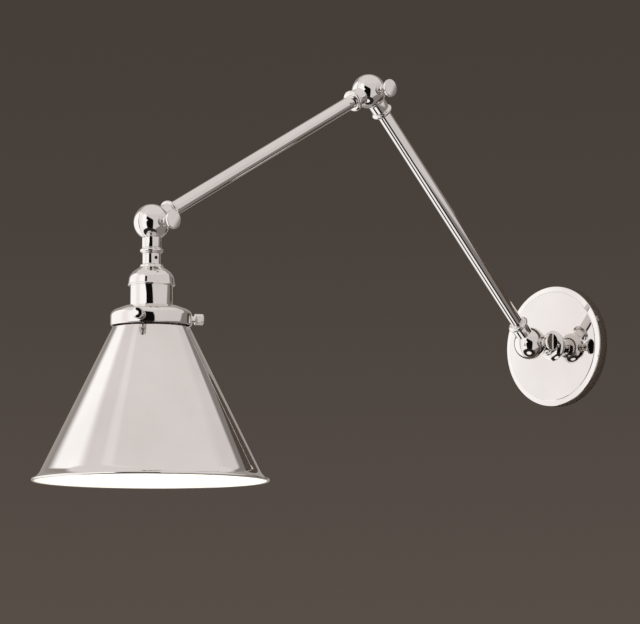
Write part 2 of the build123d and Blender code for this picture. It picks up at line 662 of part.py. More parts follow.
def bulb_cap():
    """Threaded metal cap of the bulb."""
    cap = pipe(BULB_CAP_R, BULB_CAP_R - BULB_CAP_WALL, BULB_CAP_START, BULB_CAP_END)
    cap += rod(BULB_CAP_R, BULB_CAP_START, BULB_CAP_START + BULB_CAP_WALL)
    z = BULB_CAP_START + BULB_THREAD_START
    while z < BULB_CAP_END - BULB_THREAD_STOP:
        cap += torus_ring(BULB_CAP_R, BULB_THREAD_R, z)
        z += BULB_THREAD_PITCH
    return cap


def bulb_glass():
    """Hollow glass envelope: a ball that runs into a neck held inside the cap."""
    neck_r = BULB_CAP_R - BULB_CAP_WALL - RUNNING
    middle = BULB_TIP + BULB_LENGTH - BULB_R
    neck_z = BULB_CAP_END + BULB_NECK_H
    drop = middle - neck_z
    hollow_r = (neck_r**2 + drop**2 - BULB_R**2) / (2 * (BULB_R - neck_r))
    reach = BULB_R + hollow_r
    waist = (BULB_R * (neck_r + hollow_r) / reach, middle - BULB_R * drop / reach)
    half = atan2(drop, neck_r + hollow_r) / 2
    on_hollow = (neck_r + hollow_r - hollow_r * cos(half), neck_z + hollow_r * sin(half))
    neck = Line((neck_r, BULB_CAP_END - BULB_GLASS_IN_CAP), (neck_r, neck_z))
    shoulder = ThreePointArc((neck_r, neck_z), on_hollow, waist)
    ball = ThreePointArc(waist, (BULB_R, middle), (0, middle + BULB_R))
    return spun_sheet(Wire([neck.edge(), shoulder.edge(), ball.edge()]), BULB_GLASS_WALL)


save("backplate", backplate(), ON_WALL)
save("rosette", rosette(), ON_WALL)
save("box_crossbar", box_bar(), ON_WALL)
save("canopy_crossbar", canopy_bar(), ON_WALL)
save("crossbar_eyelet", crossbar_eyelet(), ON_WALL)
save("side_screws", side_screws(), ON_WALL)
save("ground_screw", ground_screw(), ON_WALL)
save("swivel_stop_pin", stop_pin(), ON_WALL)
save("swivel_spring_washer", spring_washer(), ON_WALL)
save("swivel_fibre_washer", swivel_washer(), ON_WALL)

save("wall_knuckle_inner", half_knuckle(-1, NIPPLE_R), STEM)
save("stem_collar", collar(NIPPLE_R), STEM)
save("wall_nipple", wall_nipple(), ON_WALL)
save("nipple_nut", nipple_nut(), ON_WALL)
save("swivel_stop_washer", stop_washer(), ON_WALL)
save("swivel_wires", wires(WIRE_END_GAP, WALL_BALL_Z - WIRE_START), ON_WALL)
save("wall_hub_washer", hub_washer(), WALL_PIVOT)

save("wall_knuckle_outer", half_knuckle(1, TUBE_R), LOWER_START)
save("lower_arm_lower_collar", collar(TUBE_R), LOWER_START)
save("lower_arm_tube", arm_tube(), LOWER_START)
save("lower_arm_upper_collar", collar(TUBE_R), LOWER_END)
save("elbow_knuckle_inner", half_knuckle(-1, TUBE_R), LOWER_END)
save("lower_arm_wires", wires(WIRE_START, ARM_LENGTH - WIRE_START), LOWER_START)
save("elbow_hub_washer", hub_washer(), ELBOW_PIVOT)

save("elbow_knuckle_outer", half_knuckle(1, TUBE_R), UPPER_START)
save("upper_arm_upper_collar", collar(TUBE_R), UPPER_START)
save("upper_arm_tube", arm_tube(), UPPER_START)
save("upper_arm_lower_collar", collar(TUBE_R), UPPER_END)
save("head_knuckle_inner", half_knuckle(-1, TUBE_R), UPPER_END)
save("upper_arm_wires", wires(WIRE_START, ARM_LENGTH - WIRE_START), UPPER_START)
save("head_hub_washer", hub_washer(), HEAD_PIVOT)

save("head_knuckle_outer", half_knuckle(1, NIPPLE_R), HEAD)
save("head_collar", collar(NIPPLE_R), HEAD)
save("head_nipple", pipe(NIPPLE_R, NIPPLE_BORE_R, SOCKET_START, HEAD_NIPPLE_END), HEAD)
save("head_wires", wires(WIRE_START, HOLDER_START + WIRE_DEPTH - WIRE_END_GAP), HEAD)
save("socket_cap", socket_cap(), HEAD)
save("socket_grub_screw", grub_screw(), HEAD)
save("socket_shell", socket_shell(), HEAD)
save("lamp_holder", lamp_holder(), HEAD)
save("terminal_screws", terminal_screws(), HEAD)
save("screw_shell", screw_shell(), HEAD)
save("centre_contact", centre_contact(), HEAD)
save("socket_liner", socket_liner(), HEAD)
save("shade_fitter", shade_fitter(), HEAD)
save("fitter_ring", fitter_ring(), HEAD)
save("shade", shade(), HEAD)
save("bulb_contact", bulb_contact(), HEAD)
save("bulb_insulator", bulb_insulator(), HEAD)
save("bulb_cap", bulb_cap(), HEAD)
save("bulb_glass", bulb_glass(), HEAD)

for name, place in (("wall", WALL_PIVOT), ("elbow", ELBOW_PIVOT), ("head", HEAD_PIVOT)):
    save(f"{name}_thumb_screw", thumb_screw(), place)
    save(f"{name}_thumb_washer", knob_washer(), place)

for number, azimuth in enumerate(FITTER_SCREW_AZIMUTHS, 1):
    save(f"fitter_screw_{number}", fitter_screw(azimuth), HEAD)
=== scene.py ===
"""Looks of a swing arm wall sconce in polished nickel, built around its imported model."""

import json
import logging
import math
from collections.abc import Iterable, Sequence
from dataclasses import dataclass
from enum import Enum

import bmesh
import bpy
from bmesh.types import BMesh, BMVert
from bpy.types import Material, Node, NodeSocket, NodeTree, Object
from mathutils import Matrix, Vector

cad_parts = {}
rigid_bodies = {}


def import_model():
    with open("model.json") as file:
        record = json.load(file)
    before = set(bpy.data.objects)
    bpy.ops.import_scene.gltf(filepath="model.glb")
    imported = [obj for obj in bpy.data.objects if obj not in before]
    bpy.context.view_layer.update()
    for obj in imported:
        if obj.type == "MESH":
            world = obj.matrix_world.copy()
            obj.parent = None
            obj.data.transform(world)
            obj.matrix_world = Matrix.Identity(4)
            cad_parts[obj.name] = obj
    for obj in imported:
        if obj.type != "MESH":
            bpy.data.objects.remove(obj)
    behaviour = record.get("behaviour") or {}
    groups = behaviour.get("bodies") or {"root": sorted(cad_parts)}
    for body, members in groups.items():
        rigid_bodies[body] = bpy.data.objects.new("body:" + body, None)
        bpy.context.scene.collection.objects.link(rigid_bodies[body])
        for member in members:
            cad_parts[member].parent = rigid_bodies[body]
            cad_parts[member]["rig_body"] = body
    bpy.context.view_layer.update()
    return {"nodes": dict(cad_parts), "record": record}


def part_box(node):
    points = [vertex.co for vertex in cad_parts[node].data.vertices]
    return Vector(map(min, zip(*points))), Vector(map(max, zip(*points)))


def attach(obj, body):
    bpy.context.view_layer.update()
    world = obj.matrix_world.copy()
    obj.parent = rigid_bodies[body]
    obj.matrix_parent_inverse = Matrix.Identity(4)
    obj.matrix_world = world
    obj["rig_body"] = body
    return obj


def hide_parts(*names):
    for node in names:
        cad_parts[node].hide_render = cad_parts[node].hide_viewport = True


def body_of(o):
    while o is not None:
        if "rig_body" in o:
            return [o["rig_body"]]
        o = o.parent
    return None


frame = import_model()

LOG = logging.getLogger("sconce")

Colour = tuple[float, float, float]

TURN = 2 * math.pi
DEGREES = 360 / TURN  # in a radian
SHARP_ANGLE = math.radians(32)  # edges sharper than this stay crisp
JOIN = 1e-6  # points closer than this are one
BULB_BRIGHT = 0.6  # part of the bulb's height from which it dims towards its cap

# Facets round a turned piece, and spans of an arc
DRILL_STEPS = 32
SMALL_STEPS = 48
ROUND_STEPS = 96
BROAD_STEPS = 128
BEAD_STEPS = 12
ROLL_STEPS = 20
BALL_STEPS = 24
NECK_STEPS = 16
BULB_STEPS = 28
THREAD_STEPS = 48

# Roundings of edges
HAIR = 0.0001
CRISP = 0.0002
FINE = 0.0003
SOFT = 0.0004
EASED = 0.0005
ROUNDED = 0.0006

# Sockets of a colour mix
MIX_LOW = 6
MIX_HIGH = 7
MIX_RESULT = 2


# ------------------------------------------------------------------ shader maths
class Value:
    """A shader socket that takes part in Python arithmetic."""

    def __init__(self, tree: "Shader", socket: NodeSocket) -> None:
        """Keeps the socket with the tree that it belongs to."""
        self.tree = tree
        self.socket = socket

    def _math(self, operation: str, *others: "Value | float") -> "Value":
        """Adds a Math node that takes this value first."""
        return self.tree.maths(operation, self, *others)

    def __add__(self, other: "Value | float") -> "Value":
        """Sum."""
        return self._math("ADD", other)

    __radd__ = __add__

    def __sub__(self, other: "Value | float") -> "Value":
        """Difference."""
        return self._math("SUBTRACT", other)

    def __rsub__(self, other: float) -> "Value":
        """Difference from a number."""
        return self.tree.maths("SUBTRACT", other, self)

    def __mul__(self, other: "Value | float") -> "Value":
        """Product."""
        return self._math("MULTIPLY", other)

    __rmul__ = __mul__

    def __abs__(self) -> "Value":
        """Size without sign."""
        return self._math("ABSOLUTE")

    def rise(self, start: float, end: float) -> "Value":
        """Smooth step from 0 at start to 1 at end.

        Args:
            start: Value at which the step begins.
            end: Value at which it is complete; it may lie below start.

        Returns:
            A value from 0 to 1.
        """
        if start > end:
            return 1 - self.rise(end, start)
        node = self.tree.add("ShaderNodeMapRange", {"interpolation_type": "SMOOTHSTEP"},
                             {"Value": self, "From Min": start, "From Max": end})
        return Value(self.tree, node.outputs["Result"])


class Shader:
    """A node tree that is filled by Python expressions."""

    def __init__(self, tree: NodeTree) -> None:
        """Starts with an empty tree."""
        self.tree = tree
        tree.nodes.clear()

    def add(self, kind: str, settings: dict[str, object] | None = None,
            inputs: dict[str | int, object] | None = None) -> Node:
        """Adds any node.

        Args:
            kind: The node's type, such as ShaderNodeMath.
            settings: Attributes that are set first.
            inputs: Values, sockets or Values for its inputs, by name or number.

        Returns:
            The new node.
        """
        node = self.tree.nodes.new(kind)
        for name, setting in (settings or {}).items():
            setattr(node, name, setting)
        for name, given in (inputs or {}).items():
            socket = node.inputs[name]
            if isinstance(given, Value):
                given = given.socket
            if isinstance(given, NodeSocket):
                self.tree.links.new(given, socket)
            else:
                socket.default_value = given
        return node

    def maths(self, operation: str, *terms: Value | float) -> Value:
        """Adds a Math node and returns its result."""
        node = self.add("ShaderNodeMath", {"operation": operation}, dict(enumerate(terms)))
        return Value(self, node.outputs[0])

    def place(self) -> NodeSocket:
        """Object coordinates, in metres."""
        return self.add("ShaderNodeTexCoord").outputs["Object"]

    def mapped(self, scale: Sequence[float], turn: Sequence[float] = (0, 0, 0)) -> NodeSocket:
        """Object coordinates that are turned and stretched."""
        node = self.add("ShaderNodeMapping", None, {"Vector": self.place(), "Scale": scale, "Rotation": turn})
        return node.outputs["Vector"]

    def noise(self, scale: float, detail: float = 3.0, where: NodeSocket | None = None,
              rough: float = 0.5) -> Value:
        """Noise from 0 to 1.

        Args:
            scale: Waves per metre, roughly.
            detail: Number of finer layers.
            where: Coordinates; object coordinates if left out.
            rough: Strength of the finer layers.

        Returns:
            The noise value.
        """
        node = self.add("ShaderNodeTexNoise", None,
                        {"Vector": where or self.place(), "Scale": scale, "Detail": detail,
                         "Roughness": rough})
        return Value(self, node.outputs["Fac"])

    def blend(self, amount: Value, low: Colour | NodeSocket, high: Colour | NodeSocket) -> NodeSocket:
        """Colour that goes from low to high with the amount.

        Args:
            amount: 0 for low, 1 for high.
            low: A colour, or the socket that gives it.
            high: The same for the other end.

        Returns:
            The mixed colour.
        """
        ends = {MIX_LOW: low, MIX_HIGH: high}
        inputs = {k: (*c, 1.0) if isinstance(c, tuple) else c for k, c in ends.items()}
        node = self.add("ShaderNodeMix", {"data_type": "RGBA"}, {0: amount, **inputs})
        return node.outputs[MIX_RESULT]

    def bump(self, height: Value, strength: float, distance: float) -> NodeSocket:
        """Normal that is tilted by a height field."""
        node = self.add("ShaderNodeBump", None,
                        {"Height": height, "Strength": strength, "Distance": distance})
        return node.outputs["Normal"]

    def surface(self, **inputs: object) -> None:
        """Ends the tree in a Principled surface.

        Args:
            inputs: The surface's inputs by name, with _ for each space.
        """
        named = {name.replace("_", " "): given for name, given in inputs.items()}
        body = self.add("ShaderNodeBsdfPrincipled", None, named)
        output = self.add("ShaderNodeOutputMaterial")
        self.tree.links.new(body.outputs[0], output.inputs["Surface"])


# ------------------------------------------------------------------ finishes
def new_material(name: str) -> tuple[Material, Shader]:
    """Makes an empty node material.

    Args:
        name: The material's name.

    Returns:
        The material and the tree to fill.
    """
    material = bpy.data.materials.new(name)
    material.use_nodes = True
    return material, Shader(material.node_tree)


@dataclass(frozen=True)
class PlatedMetal:
    """Bright plating with handling smudges, faint wipe marks and a slight cloudiness."""

    name: str
    colour: Colour
    shade: Colour
    roughness: float
    smudge: float = 0.05
    wave: float = 0.02

    def build(self) -> Material:
        """Makes the material.

        Returns:
            The new material.
        """
        material, s = new_material(self.name)
        cloud = s.noise(14, 4)
        smudge = s.noise(38, 5, rough=0.62).rise(0.52, 0.74)
        wipes = s.noise(1, 4, s.mapped((900, 900, 26), (0.5, 0.3, 0.8))).rise(0.55, 0.8)
        tone = s.blend(cloud.rise(0.35, 0.7), self.colour, self.shade)
        s.surface(
            Base_Color=tone,
            Metallic=1.0,
            Roughness=self.roughness + smudge * self.smudge + wipes * (self.smudge * 0.4),
            Normal=s.bump(s.noise(22, 2), self.wave, 0.004),
        )
        return material


@dataclass(frozen=True)
class StampedMetal:
    """Dull sheet or turned metal with a rolled grain and dark specks."""

    name: str
    colour: Colour
    shade: Colour
    roughness: float

    def build(self) -> Material:
        """Makes the material.

        Returns:
            The new material.
        """
        material, s = new_material(self.name)
        grain = s.noise(1, 5, s.mapped((2200, 2200, 90)))
        patches = s.noise(60, 5, rough=0.65).rise(0.38, 0.68)
        specks = s.noise(700, 2).rise(0.66, 0.78)
        tone = s.blend(patches, self.colour, self.shade)
        s.surface(
            Base_Color=s.blend(specks * 0.5, tone, (0.08, 0.07, 0.06)),
            Metallic=1.0,
            Roughness=self.roughness + patches * 0.12 + grain * 0.1,
            Normal=s.bump(grain, 0.18, 0.0004),
        )
        return material


@dataclass(frozen=True)
class Glaze:
    """Glossy enamel or porcelain with a faint orange peel and a thin dust tone; when strength is set, its
    emission is painted light.
    """

    name: str
    colour: Colour
    shade: Colour
    roughness: float
    coat: float = 0.4
    # glow and strength: colour and strength of painted light, an emission that stands in for lamp light on
    # the glaze
    glow: Colour = (1.0, 0.96, 0.86)
    strength: float = 0.0

    def build(self) -> Material:
        """Makes the material.

        Returns:
            The new material.
        """
        material, s = new_material(self.name)
        dust = s.noise(45, 5, rough=0.6).rise(0.45, 0.8)
        peel = s.noise(260, 2)
        s.surface(
            Base_Color=s.blend(dust, self.colour, self.shade),
            Roughness=self.roughness + dust * 0.12,
            Normal=s.bump(peel, 0.06, 0.0006),
            Coat_Weight=self.coat,
            # the emission is painted light: the glaze glows though it is no lamp
            Emission_Color=(*self.glow, 1.0),
            Emission_Strength=self.strength,
        )
        return material


@dataclass(frozen=True)
class Moulded:
    """Fibre, paper or plastic: a matte base with flecks and a soft grain."""

    name: str
    colour: Colour
    shade: Colour
    roughness: float
    grain: float = 420

    def build(self) -> Material:
        """Makes the material.

        Returns:
            The new material.
        """
        material, s = new_material(self.name)
        flecks = s.noise(self.grain, 4, rough=0.7)
        s.surface(
            Base_Color=s.blend(flecks.rise(0.4, 0.66), self.colour, self.shade),
            Roughness=self.roughness + flecks * 0.15,
            Normal=s.bump(flecks, 0.25, 0.0002),
        )
        return material


@dataclass(frozen=True)
class LitGlass:
    """Opal bulb glass that glows, brightest round its middle."""

    name: str
    colour: Colour
    glow: Colour
    edge_glow: Colour
    strength: float
    bright_z: float
    dim_z: float

    def build(self) -> Material:
        """Makes the material.

        Returns:
            The new material.
        """
        material, s = new_material(self.name)
        split = s.add("ShaderNodeSeparateXYZ", None, {0: s.place()})
        heat = Value(s, split.outputs["Z"]).rise(self.dim_z, self.bright_z)
        film = s.noise(120, 3)
        s.surface(
            Base_Color=s.blend(film, self.colour, (0.86, 0.84, 0.8)),
            Roughness=0.22 + film * 0.08,
            Emission_Color=s.blend(heat, self.edge_glow, self.glow),
            Emission_Strength=self.strength,
        )
        return material


class Slot(Enum):
    """The record's material slots."""

    NICKEL = "polished_nickel"
    ENAMEL = "white_enamel"
    ZINC = "zinc_steel"
    BRASS = "brass"
    PORCELAIN = "porcelain"
    OPAL = "opal_glass"
    DARK_GLASS = "dark_glass"
    FIBRE = "fibre"
    WIRE = "wire_insulation"
    GREEN = "green_steel"


def finishes() -> dict[Slot, Material]:
    """Makes one material for each slot.

    Returns:
        The materials by slot.
    """
    low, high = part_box("bulb_glass")
    recipes = {
        Slot.NICKEL: PlatedMetal("polished nickel", (0.86, 0.835, 0.815), (0.80, 0.775, 0.755), 0.035),
        # painted light: the white enamel's emission stands in for the bulb's light on the shade's inside
        Slot.ENAMEL: Glaze("white enamel", (0.90, 0.88, 0.83), (0.84, 0.81, 0.75), 0.22, strength=0.75),
        Slot.ZINC: StampedMetal("zinc plated steel", (0.60, 0.61, 0.63), (0.46, 0.47, 0.50), 0.30),
        Slot.BRASS: StampedMetal("lamp brass", (0.78, 0.58, 0.28), (0.60, 0.42, 0.18), 0.26),
        Slot.PORCELAIN: Glaze("glazed porcelain", (0.88, 0.87, 0.84), (0.80, 0.78, 0.73), 0.16, 0.7),
        Slot.OPAL: LitGlass("opal bulb glass", (0.95, 0.93, 0.9), (1.0, 0.93, 0.80), (1.0, 0.82, 0.58), 2.6,
                            low.z * (1 - BULB_BRIGHT) + high.z * BULB_BRIGHT, high.z),
        Slot.DARK_GLASS: Glaze("black glass", (0.02, 0.02, 0.025), (0.05, 0.05, 0.05), 0.1, 0.8),
        Slot.FIBRE: Moulded("pressed fibre", (0.09, 0.07, 0.06), (0.18, 0.13, 0.10), 0.7),
        Slot.WIRE: Moulded("wire insulation", (0.78, 0.77, 0.74), (0.70, 0.69, 0.65), 0.38, 160),
        Slot.GREEN: StampedMetal("green earth screw", (0.05, 0.30, 0.12), (0.03, 0.2, 0.08), 0.32),
    }
    return {slot: recipe.build() for slot, recipe in recipes.items()}


# ------------------------------------------------------------------ turning and cutting
@dataclass(frozen=True)
class Corner:
    """A point of a turned outline: radius, height and the size of its rounding."""

    r: float
    z: float
    fillet: float = 0.0


def arc(centre: tuple[float, float], radius: float, start: float, end: float, steps: int) -> list[Corner]:
    """Points on a circle in the outline's plane.

    Args:
        centre: Radius and height of the circle's centre.
        radius: Its radius.
        start: First angle, in degrees from the outward direction towards +Z.
        end: Last angle.
        steps: Number of spans.

    Returns:
        The points, ends included.
    """
    angles = [math.radians(start + (end - start) * k / steps) for k in range(steps + 1)]
    return [Corner(centre[0] + radius * math.cos(a), centre[1] + radius * math.sin(a)) for a in angles]


def lathe(outline: Iterable[Corner], closed: bool = True, steps: int = ROUND_STEPS) -> BMesh:
    """Turns an outline about the Z axis.

    Args:
        outline: The outline's corners in order. An open outline starts and ends on the axis.
        closed: Whether the last corner joins the first.
        steps: Facets round the axis.

    Returns:
        A closed mesh.
    """
    bm = bmesh.new()
    corners = list(outline)
    points = [bm.verts.new((max(c.r, 0.0), 0.0, c.z)) for c in corners]
    for a, b in zip(points, points[1:] + points[:1] if closed else points[1:]):
        bm.edges.new((a, b))
    for point, corner in zip(points, corners):
        if corner.fillet > 0:
            bmesh.ops.bevel(bm, geom=[point], offset=corner.fillet, offset_type="OFFSET", affect="VERTICES",
                            segments=5, profile=0.5, material=-1)
    bmesh.ops.spin(bm, geom=bm.verts[:] + bm.edges[:], cent=(0, 0, 0), axis=(0, 0, 1), angle=TURN,
                   steps=steps, use_merge=True)
    bmesh.ops.remove_doubles(bm, verts=bm.verts, dist=JOIN)
    bmesh.ops.recalc_face_normals(bm, faces=bm.faces)
    return bm


def joined(*parts: BMesh) -> BMesh:
    """Puts several meshes into the first.

    Args:
        parts: The meshes. All but the first are freed.

    Returns:
        The first mesh.
    """
    first = parts[0]
    for part in parts[1:]:
        spare = bpy.data.meshes.new("spare")
        part.to_mesh(spare)
        first.from_mesh(spare)
        bpy.data.meshes.remove(spare)
        part.free()
    return first


class Cut(Enum):
    """How one solid changes another."""

    ADD = "UNION"
    REMOVE = "DIFFERENCE"


def carve(base: BMesh, *steps: tuple[Cut, BMesh]) -> BMesh:
    """Adds solids to a mesh, or removes them.

    Args:
        base: The mesh to start from.
        steps: Each a way to cut and the solid that does it, in order.

    Returns:
        The result as a new mesh.
    """
    def temporary(bm: BMesh) -> Object:
        """Makes a scratch object.

        Args:
            bm: Its mesh. It is freed.

        Returns:
            The object, in the scene.
        """
        mesh = bpy.data.meshes.new("scratch")
        bm.to_mesh(mesh)
        bm.free()
        piece = bpy.data.objects.new("scratch", mesh)
        bpy.context.scene.collection.objects.link(piece)
        return piece

    target = temporary(base)
    tools = [temporary(bm) for _, bm in steps]
    for (cut, _), tool in zip(steps, tools):
        modifier = target.modifiers.new("cut", "BOOLEAN")
        modifier.operation = cut.value
        modifier.solver = "EXACT"
        modifier.object = tool
    graph = bpy.context.evaluated_depsgraph_get()
    result = bmesh.new()
    result.from_mesh(target.evaluated_get(graph).to_mesh())
    for piece in [target, *tools]:
        bpy.data.objects.remove(piece)
    bmesh.ops.remove_doubles(result, verts=result.verts, dist=JOIN)
    return result


def facing(centre: Vector, direction: Vector, side: Vector = Vector((1, 0, 0))) -> Matrix:
    """Frame at a point with +Z along a direction.

    Args:
        centre: The frame's origin.
        direction: Where its +Z points.
        side: Roughly where its +X points.

    Returns:
        The frame as a matrix.
    """
    z = direction.normalized()
    y = z.cross(side).normalized()
    x = y.cross(z)
    turn = Matrix((x, y, z)).transposed().to_4x4()
    return Matrix.Translation(centre) @ turn


ALONG_X = facing(Vector(), Vector((1, 0, 0)), Vector((0, 0, -1)))
ALONG_MINUS_X = facing(Vector(), Vector((-1, 0, 0)), Vector((0, 0, 1)))


class Bench:
    """Where finished pieces are put into the scene."""

    def __init__(self) -> None:
        """Makes the finishes once."""
        self.finish = finishes()
        # one dark finish: the grub screw's own black steel, and painted shade on the skin inside the fitter
        dark_steel_and_shade_recipe = StampedMetal("unplated inside", (0.10, 0.085, 0.07), (0.05, 0.045, 0.04), 0.55)
        self.black_steel_and_painted_shade = dark_steel_and_shade_recipe.build()

    def piece(self, name: str, bm: BMesh, where: Matrix, slot: Slot, *nodes: str,
              finish: Material | None = None) -> Object:
        """Makes a finished piece that stands for CAD nodes.

        Args:
            name: The piece's name.
            bm: Its mesh, in its own frame. It is freed.
            where: That frame in the row's frame.
            slot: Its finish.
            nodes: The CAD nodes that it replaces; it rides on the first one's body.
            finish: A finish of its own in place of the slot's.

        Returns:
            The new object, at the origin.
        """
        bm.transform(where)
        mesh = bpy.data.meshes.new(name)
        bm.to_mesh(mesh)
        bm.free()
        mesh.polygons.foreach_set("use_smooth", [True] * len(mesh.polygons))
        mesh.set_sharp_from_angle(angle=SHARP_ANGLE)
        mesh.materials.append(finish or self.finish[slot])
        made = bpy.data.objects.new(name, mesh)
        bpy.context.scene.collection.objects.link(made)
        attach(made, body_of(frame["nodes"][nodes[0]])[0])
        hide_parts(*nodes)
        LOG.info("%s: %d faces for %s", name, len(mesh.polygons), ", ".join(nodes))
        return made

    def dress(self) -> None:
        """Gives every CAD node that still shows its slot's finish."""
        slots = {part["node"]: Slot(part["material_slot"]) for part in frame["record"]["subparts"]}
        own = {"socket_grub_screw": self.black_steel_and_painted_shade}
        for name, node in frame["nodes"].items():
            if not node.hide_render:
                node.data.materials.clear()
                node.data.materials.append(own.get(name, self.finish[slots[name]]))
                LOG.info("%s: kept, in %s", name, slots[name].value)


# ------------------------------------------------------------------ sub-assemblies
def middle(node: str) -> Vector:
    """Centre of a CAD node's box."""
    low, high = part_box(node)
    return (low + high) / 2


WALL_BALL = middle("wall_hub_washer")
ELBOW_BALL = middle("elbow_hub_washer")
HEAD_BALL = middle("head_hub_washer")
OUT = Vector((0, -1, 0))
DOWN = Vector((0, 0, -1))


@dataclass
class Knuckle:
    """Split ball joint: two half balls with a neck each, a thumb screw and its washer."""

    name: str
    centre: Vector
    inner: Vector
    outer: Vector
    ball_r: float = 0.01625
    seam: float = 0.0003
    edge: float = 0.00035
    edge_shape: tuple[float, float, float] = (0.7, 0.15, 0.5)  # parts of the edge: face, side, up
    neck_r: float = 0.0085
    neck_root: float = 0.0060
    neck_top: float = 0.0230
    neck_gap: float = 0.0003
    gap_overlap: float = 0.5  # degrees past the seam
    spot_x: float = 0.0150
    washer_r: float = 0.0055
    washer_bore_r: float = 0.0022
    washer_t: float = 0.0012
    seat_gap: float = 0.00003
    knob_r: float = 0.0084
    knob_length: float = 0.0124
    knob_rim: float = 0.0028
    knob_slope: float = 0.0008
    knob_step: float = 0.0003
    knob_edge: float = 0.0008
    foot: tuple[float, float] = (0.0034, 0.0012)  # radius and height
    bead: tuple[float, float, float] = (0.0043, 0.0016, 0.0032)  # radius, start and end
    waist: tuple[float, float] = (0.0037, 0.0036)  # radius and height
    shank_r: float = 0.0020
    shank_end: float = 0.0136

    def half_ball(self, radius: float, start: float, crown: float) -> list[Corner]:
        """Outline of a half ball that is flattened at its crown.

        Args:
            radius: The ball's radius.
            start: Height of its flat face.
            crown: Height of the flat at its crown.

        Returns:
            An open outline from the axis to the axis.
        """
        top = math.degrees(math.asin(min(crown / radius, 1.0)))
        first = math.degrees(math.asin(start / radius))
        curve = arc((0, 0), radius, first, top, BALL_STEPS)
        ends = [Corner(0, crown)] if crown < radius else []
        face, beside, up = (self.edge * part for part in self.edge_shape)
        rim_r = curve[0].r
        chamfer = [Corner(0, start), Corner(rim_r - face, start), Corner(rim_r - beside, start + up)]
        return [*chamfer, *[c for c in curve if c.z > start + self.edge], *ends]

    def half(self, side: int) -> BMesh:
        """Half ball with its whole neck along +Z.

        Args:
            side: 1 for the half on +X, -1 for the other.

        Returns:
            A closed mesh.
        """
        crown = self.spot_x if side > 0 else self.ball_r
        own, far = (ALONG_X, ALONG_MINUS_X) if side > 0 else (ALONG_MINUS_X, ALONG_X)
        ball = lathe(self.half_ball(self.ball_r, self.seam / 2, crown), closed=False)
        ball.transform(own)
        neck = lathe([Corner(0, self.neck_root), Corner(self.neck_r, self.neck_root),
                      Corner(self.neck_r, self.neck_top, EASED), Corner(0, self.neck_top)], closed=False)
        hollow = arc((0, 0), self.ball_r + self.neck_gap, -self.gap_overlap, 90, BALL_STEPS)
        gap = lathe([Corner(0, -self.seam / 2), *hollow], closed=False)
        gap.transform(far)
        return carve(ball, (Cut.ADD, neck), (Cut.REMOVE, gap))

    def screw(self) -> BMesh:
        """Thumb screw along +Z with a shank that ends inside the knuckle.

        Returns:
            A closed mesh.
        """
        start = self.spot_x + self.washer_t
        end = start + self.knob_length
        rim = end - self.knob_rim
        foot_r, foot_end = self.foot
        bead_r, bead_start, bead_end = self.bead
        waist_r, waist_z = self.waist
        return lathe([
            Corner(0, -self.shank_end), Corner(self.shank_r, -self.shank_end, SOFT),
            Corner(self.shank_r, start), Corner(foot_r, start, FINE), Corner(foot_r, start + foot_end, CRISP),
            Corner(bead_r, start + bead_start, SOFT), Corner(bead_r, start + bead_end, SOFT),
            Corner(waist_r, start + waist_z, FINE), Corner(self.knob_r - self.knob_slope, rim, SOFT),
            Corner(self.knob_r, rim + self.knob_step, FINE), Corner(self.knob_r, end, self.knob_edge),
            Corner(0, end),
        ], closed=False)

    def washer(self) -> BMesh:
        """Flat washer under the thumb screw, along +Z.

        Returns:
            A closed mesh.
        """
        seat = self.spot_x + self.seat_gap
        top = self.spot_x + self.washer_t
        return lathe([Corner(self.washer_bore_r, seat), Corner(self.washer_r, seat, CRISP),
                      Corner(self.washer_r, top, FINE), Corner(self.washer_bore_r, top)])

    def build(self, bench: Bench) -> None:
        """Makes the half balls, the thumb screw and its washer.

        Args:
            bench: Where the pieces go.
        """
        name = self.name
        bench.piece(f"{name}_ball_inner", self.half(-1), facing(self.centre, self.inner), Slot.NICKEL,
                    f"{name}_knuckle_inner")
        bench.piece(f"{name}_ball_outer", self.half(1), facing(self.centre, self.outer), Slot.NICKEL,
                    f"{name}_knuckle_outer")
        side = Matrix.Translation(self.centre) @ ALONG_X
        bench.piece(f"{name}_thumbscrew", self.screw(), side, Slot.NICKEL, f"{name}_thumb_screw")
        bench.piece(f"{name}_washer", self.washer(), side, Slot.NICKEL, f"{name}_thumb_washer")


@dataclass
class Collar:
    """Beaded collar at the end of a neck."""

    node: str
    centre: Vector
    direction: Vector
    bore_r: float
    start: float = 0.0230
    height: float = 0.0052
    body_r: float = 0.0089
    bead_r: float = 0.0018
    bead_out: float = 0.0086
    bead_span: float = 80.0  # degrees on each side of the bead's middle
    end_edge: float = 0.0007

    def build(self, bench: Bench) -> None:
        """Makes the collar.

        Args:
            bench: Where the piece goes.
        """
        mid = self.start + self.height / 2
        end = self.start + self.height
        bead = arc((self.bead_out, mid), self.bead_r, -self.bead_span, self.bead_span, BEAD_STEPS)
        outline = [Corner(self.bore_r, self.start, HAIR), Corner(self.body_r, self.start, EASED), *bead,
                   Corner(self.body_r, end, self.end_edge), Corner(self.bore_r, end, CRISP)]
        place = facing(self.centre, self.direction)
        bench.piece(f"{self.node}_ring", lathe(outline), place, Slot.NICKEL, self.node)


@dataclass
class Arm:
    """Arm tube between two knuckles, with a collar at each end."""

    tube_node: str
    start: Vector
    end: Vector
    start_collar: str
    end_collar: str
    radius: float = 0.00635
    wall: float = 0.0012
    inset: float = 0.0175

    def build(self, bench: Bench) -> None:
        """Makes the tube and its collars.

        Args:
            bench: Where the pieces go.
        """
        along = self.end - self.start
        near, far = self.inset, along.length - self.inset
        bore = self.radius - self.wall
        tube = lathe([Corner(bore, near, CRISP), Corner(self.radius, near, CRISP),
                      Corner(self.radius, far, CRISP), Corner(bore, far, CRISP)])
        bench.piece(f"{self.tube_node}_drawn", tube, facing(self.start, along), Slot.NICKEL, self.tube_node)
        Collar(self.start_collar, self.start, along, self.radius).build(bench)
        Collar(self.end_collar, self.end, -along, self.radius).build(bench)


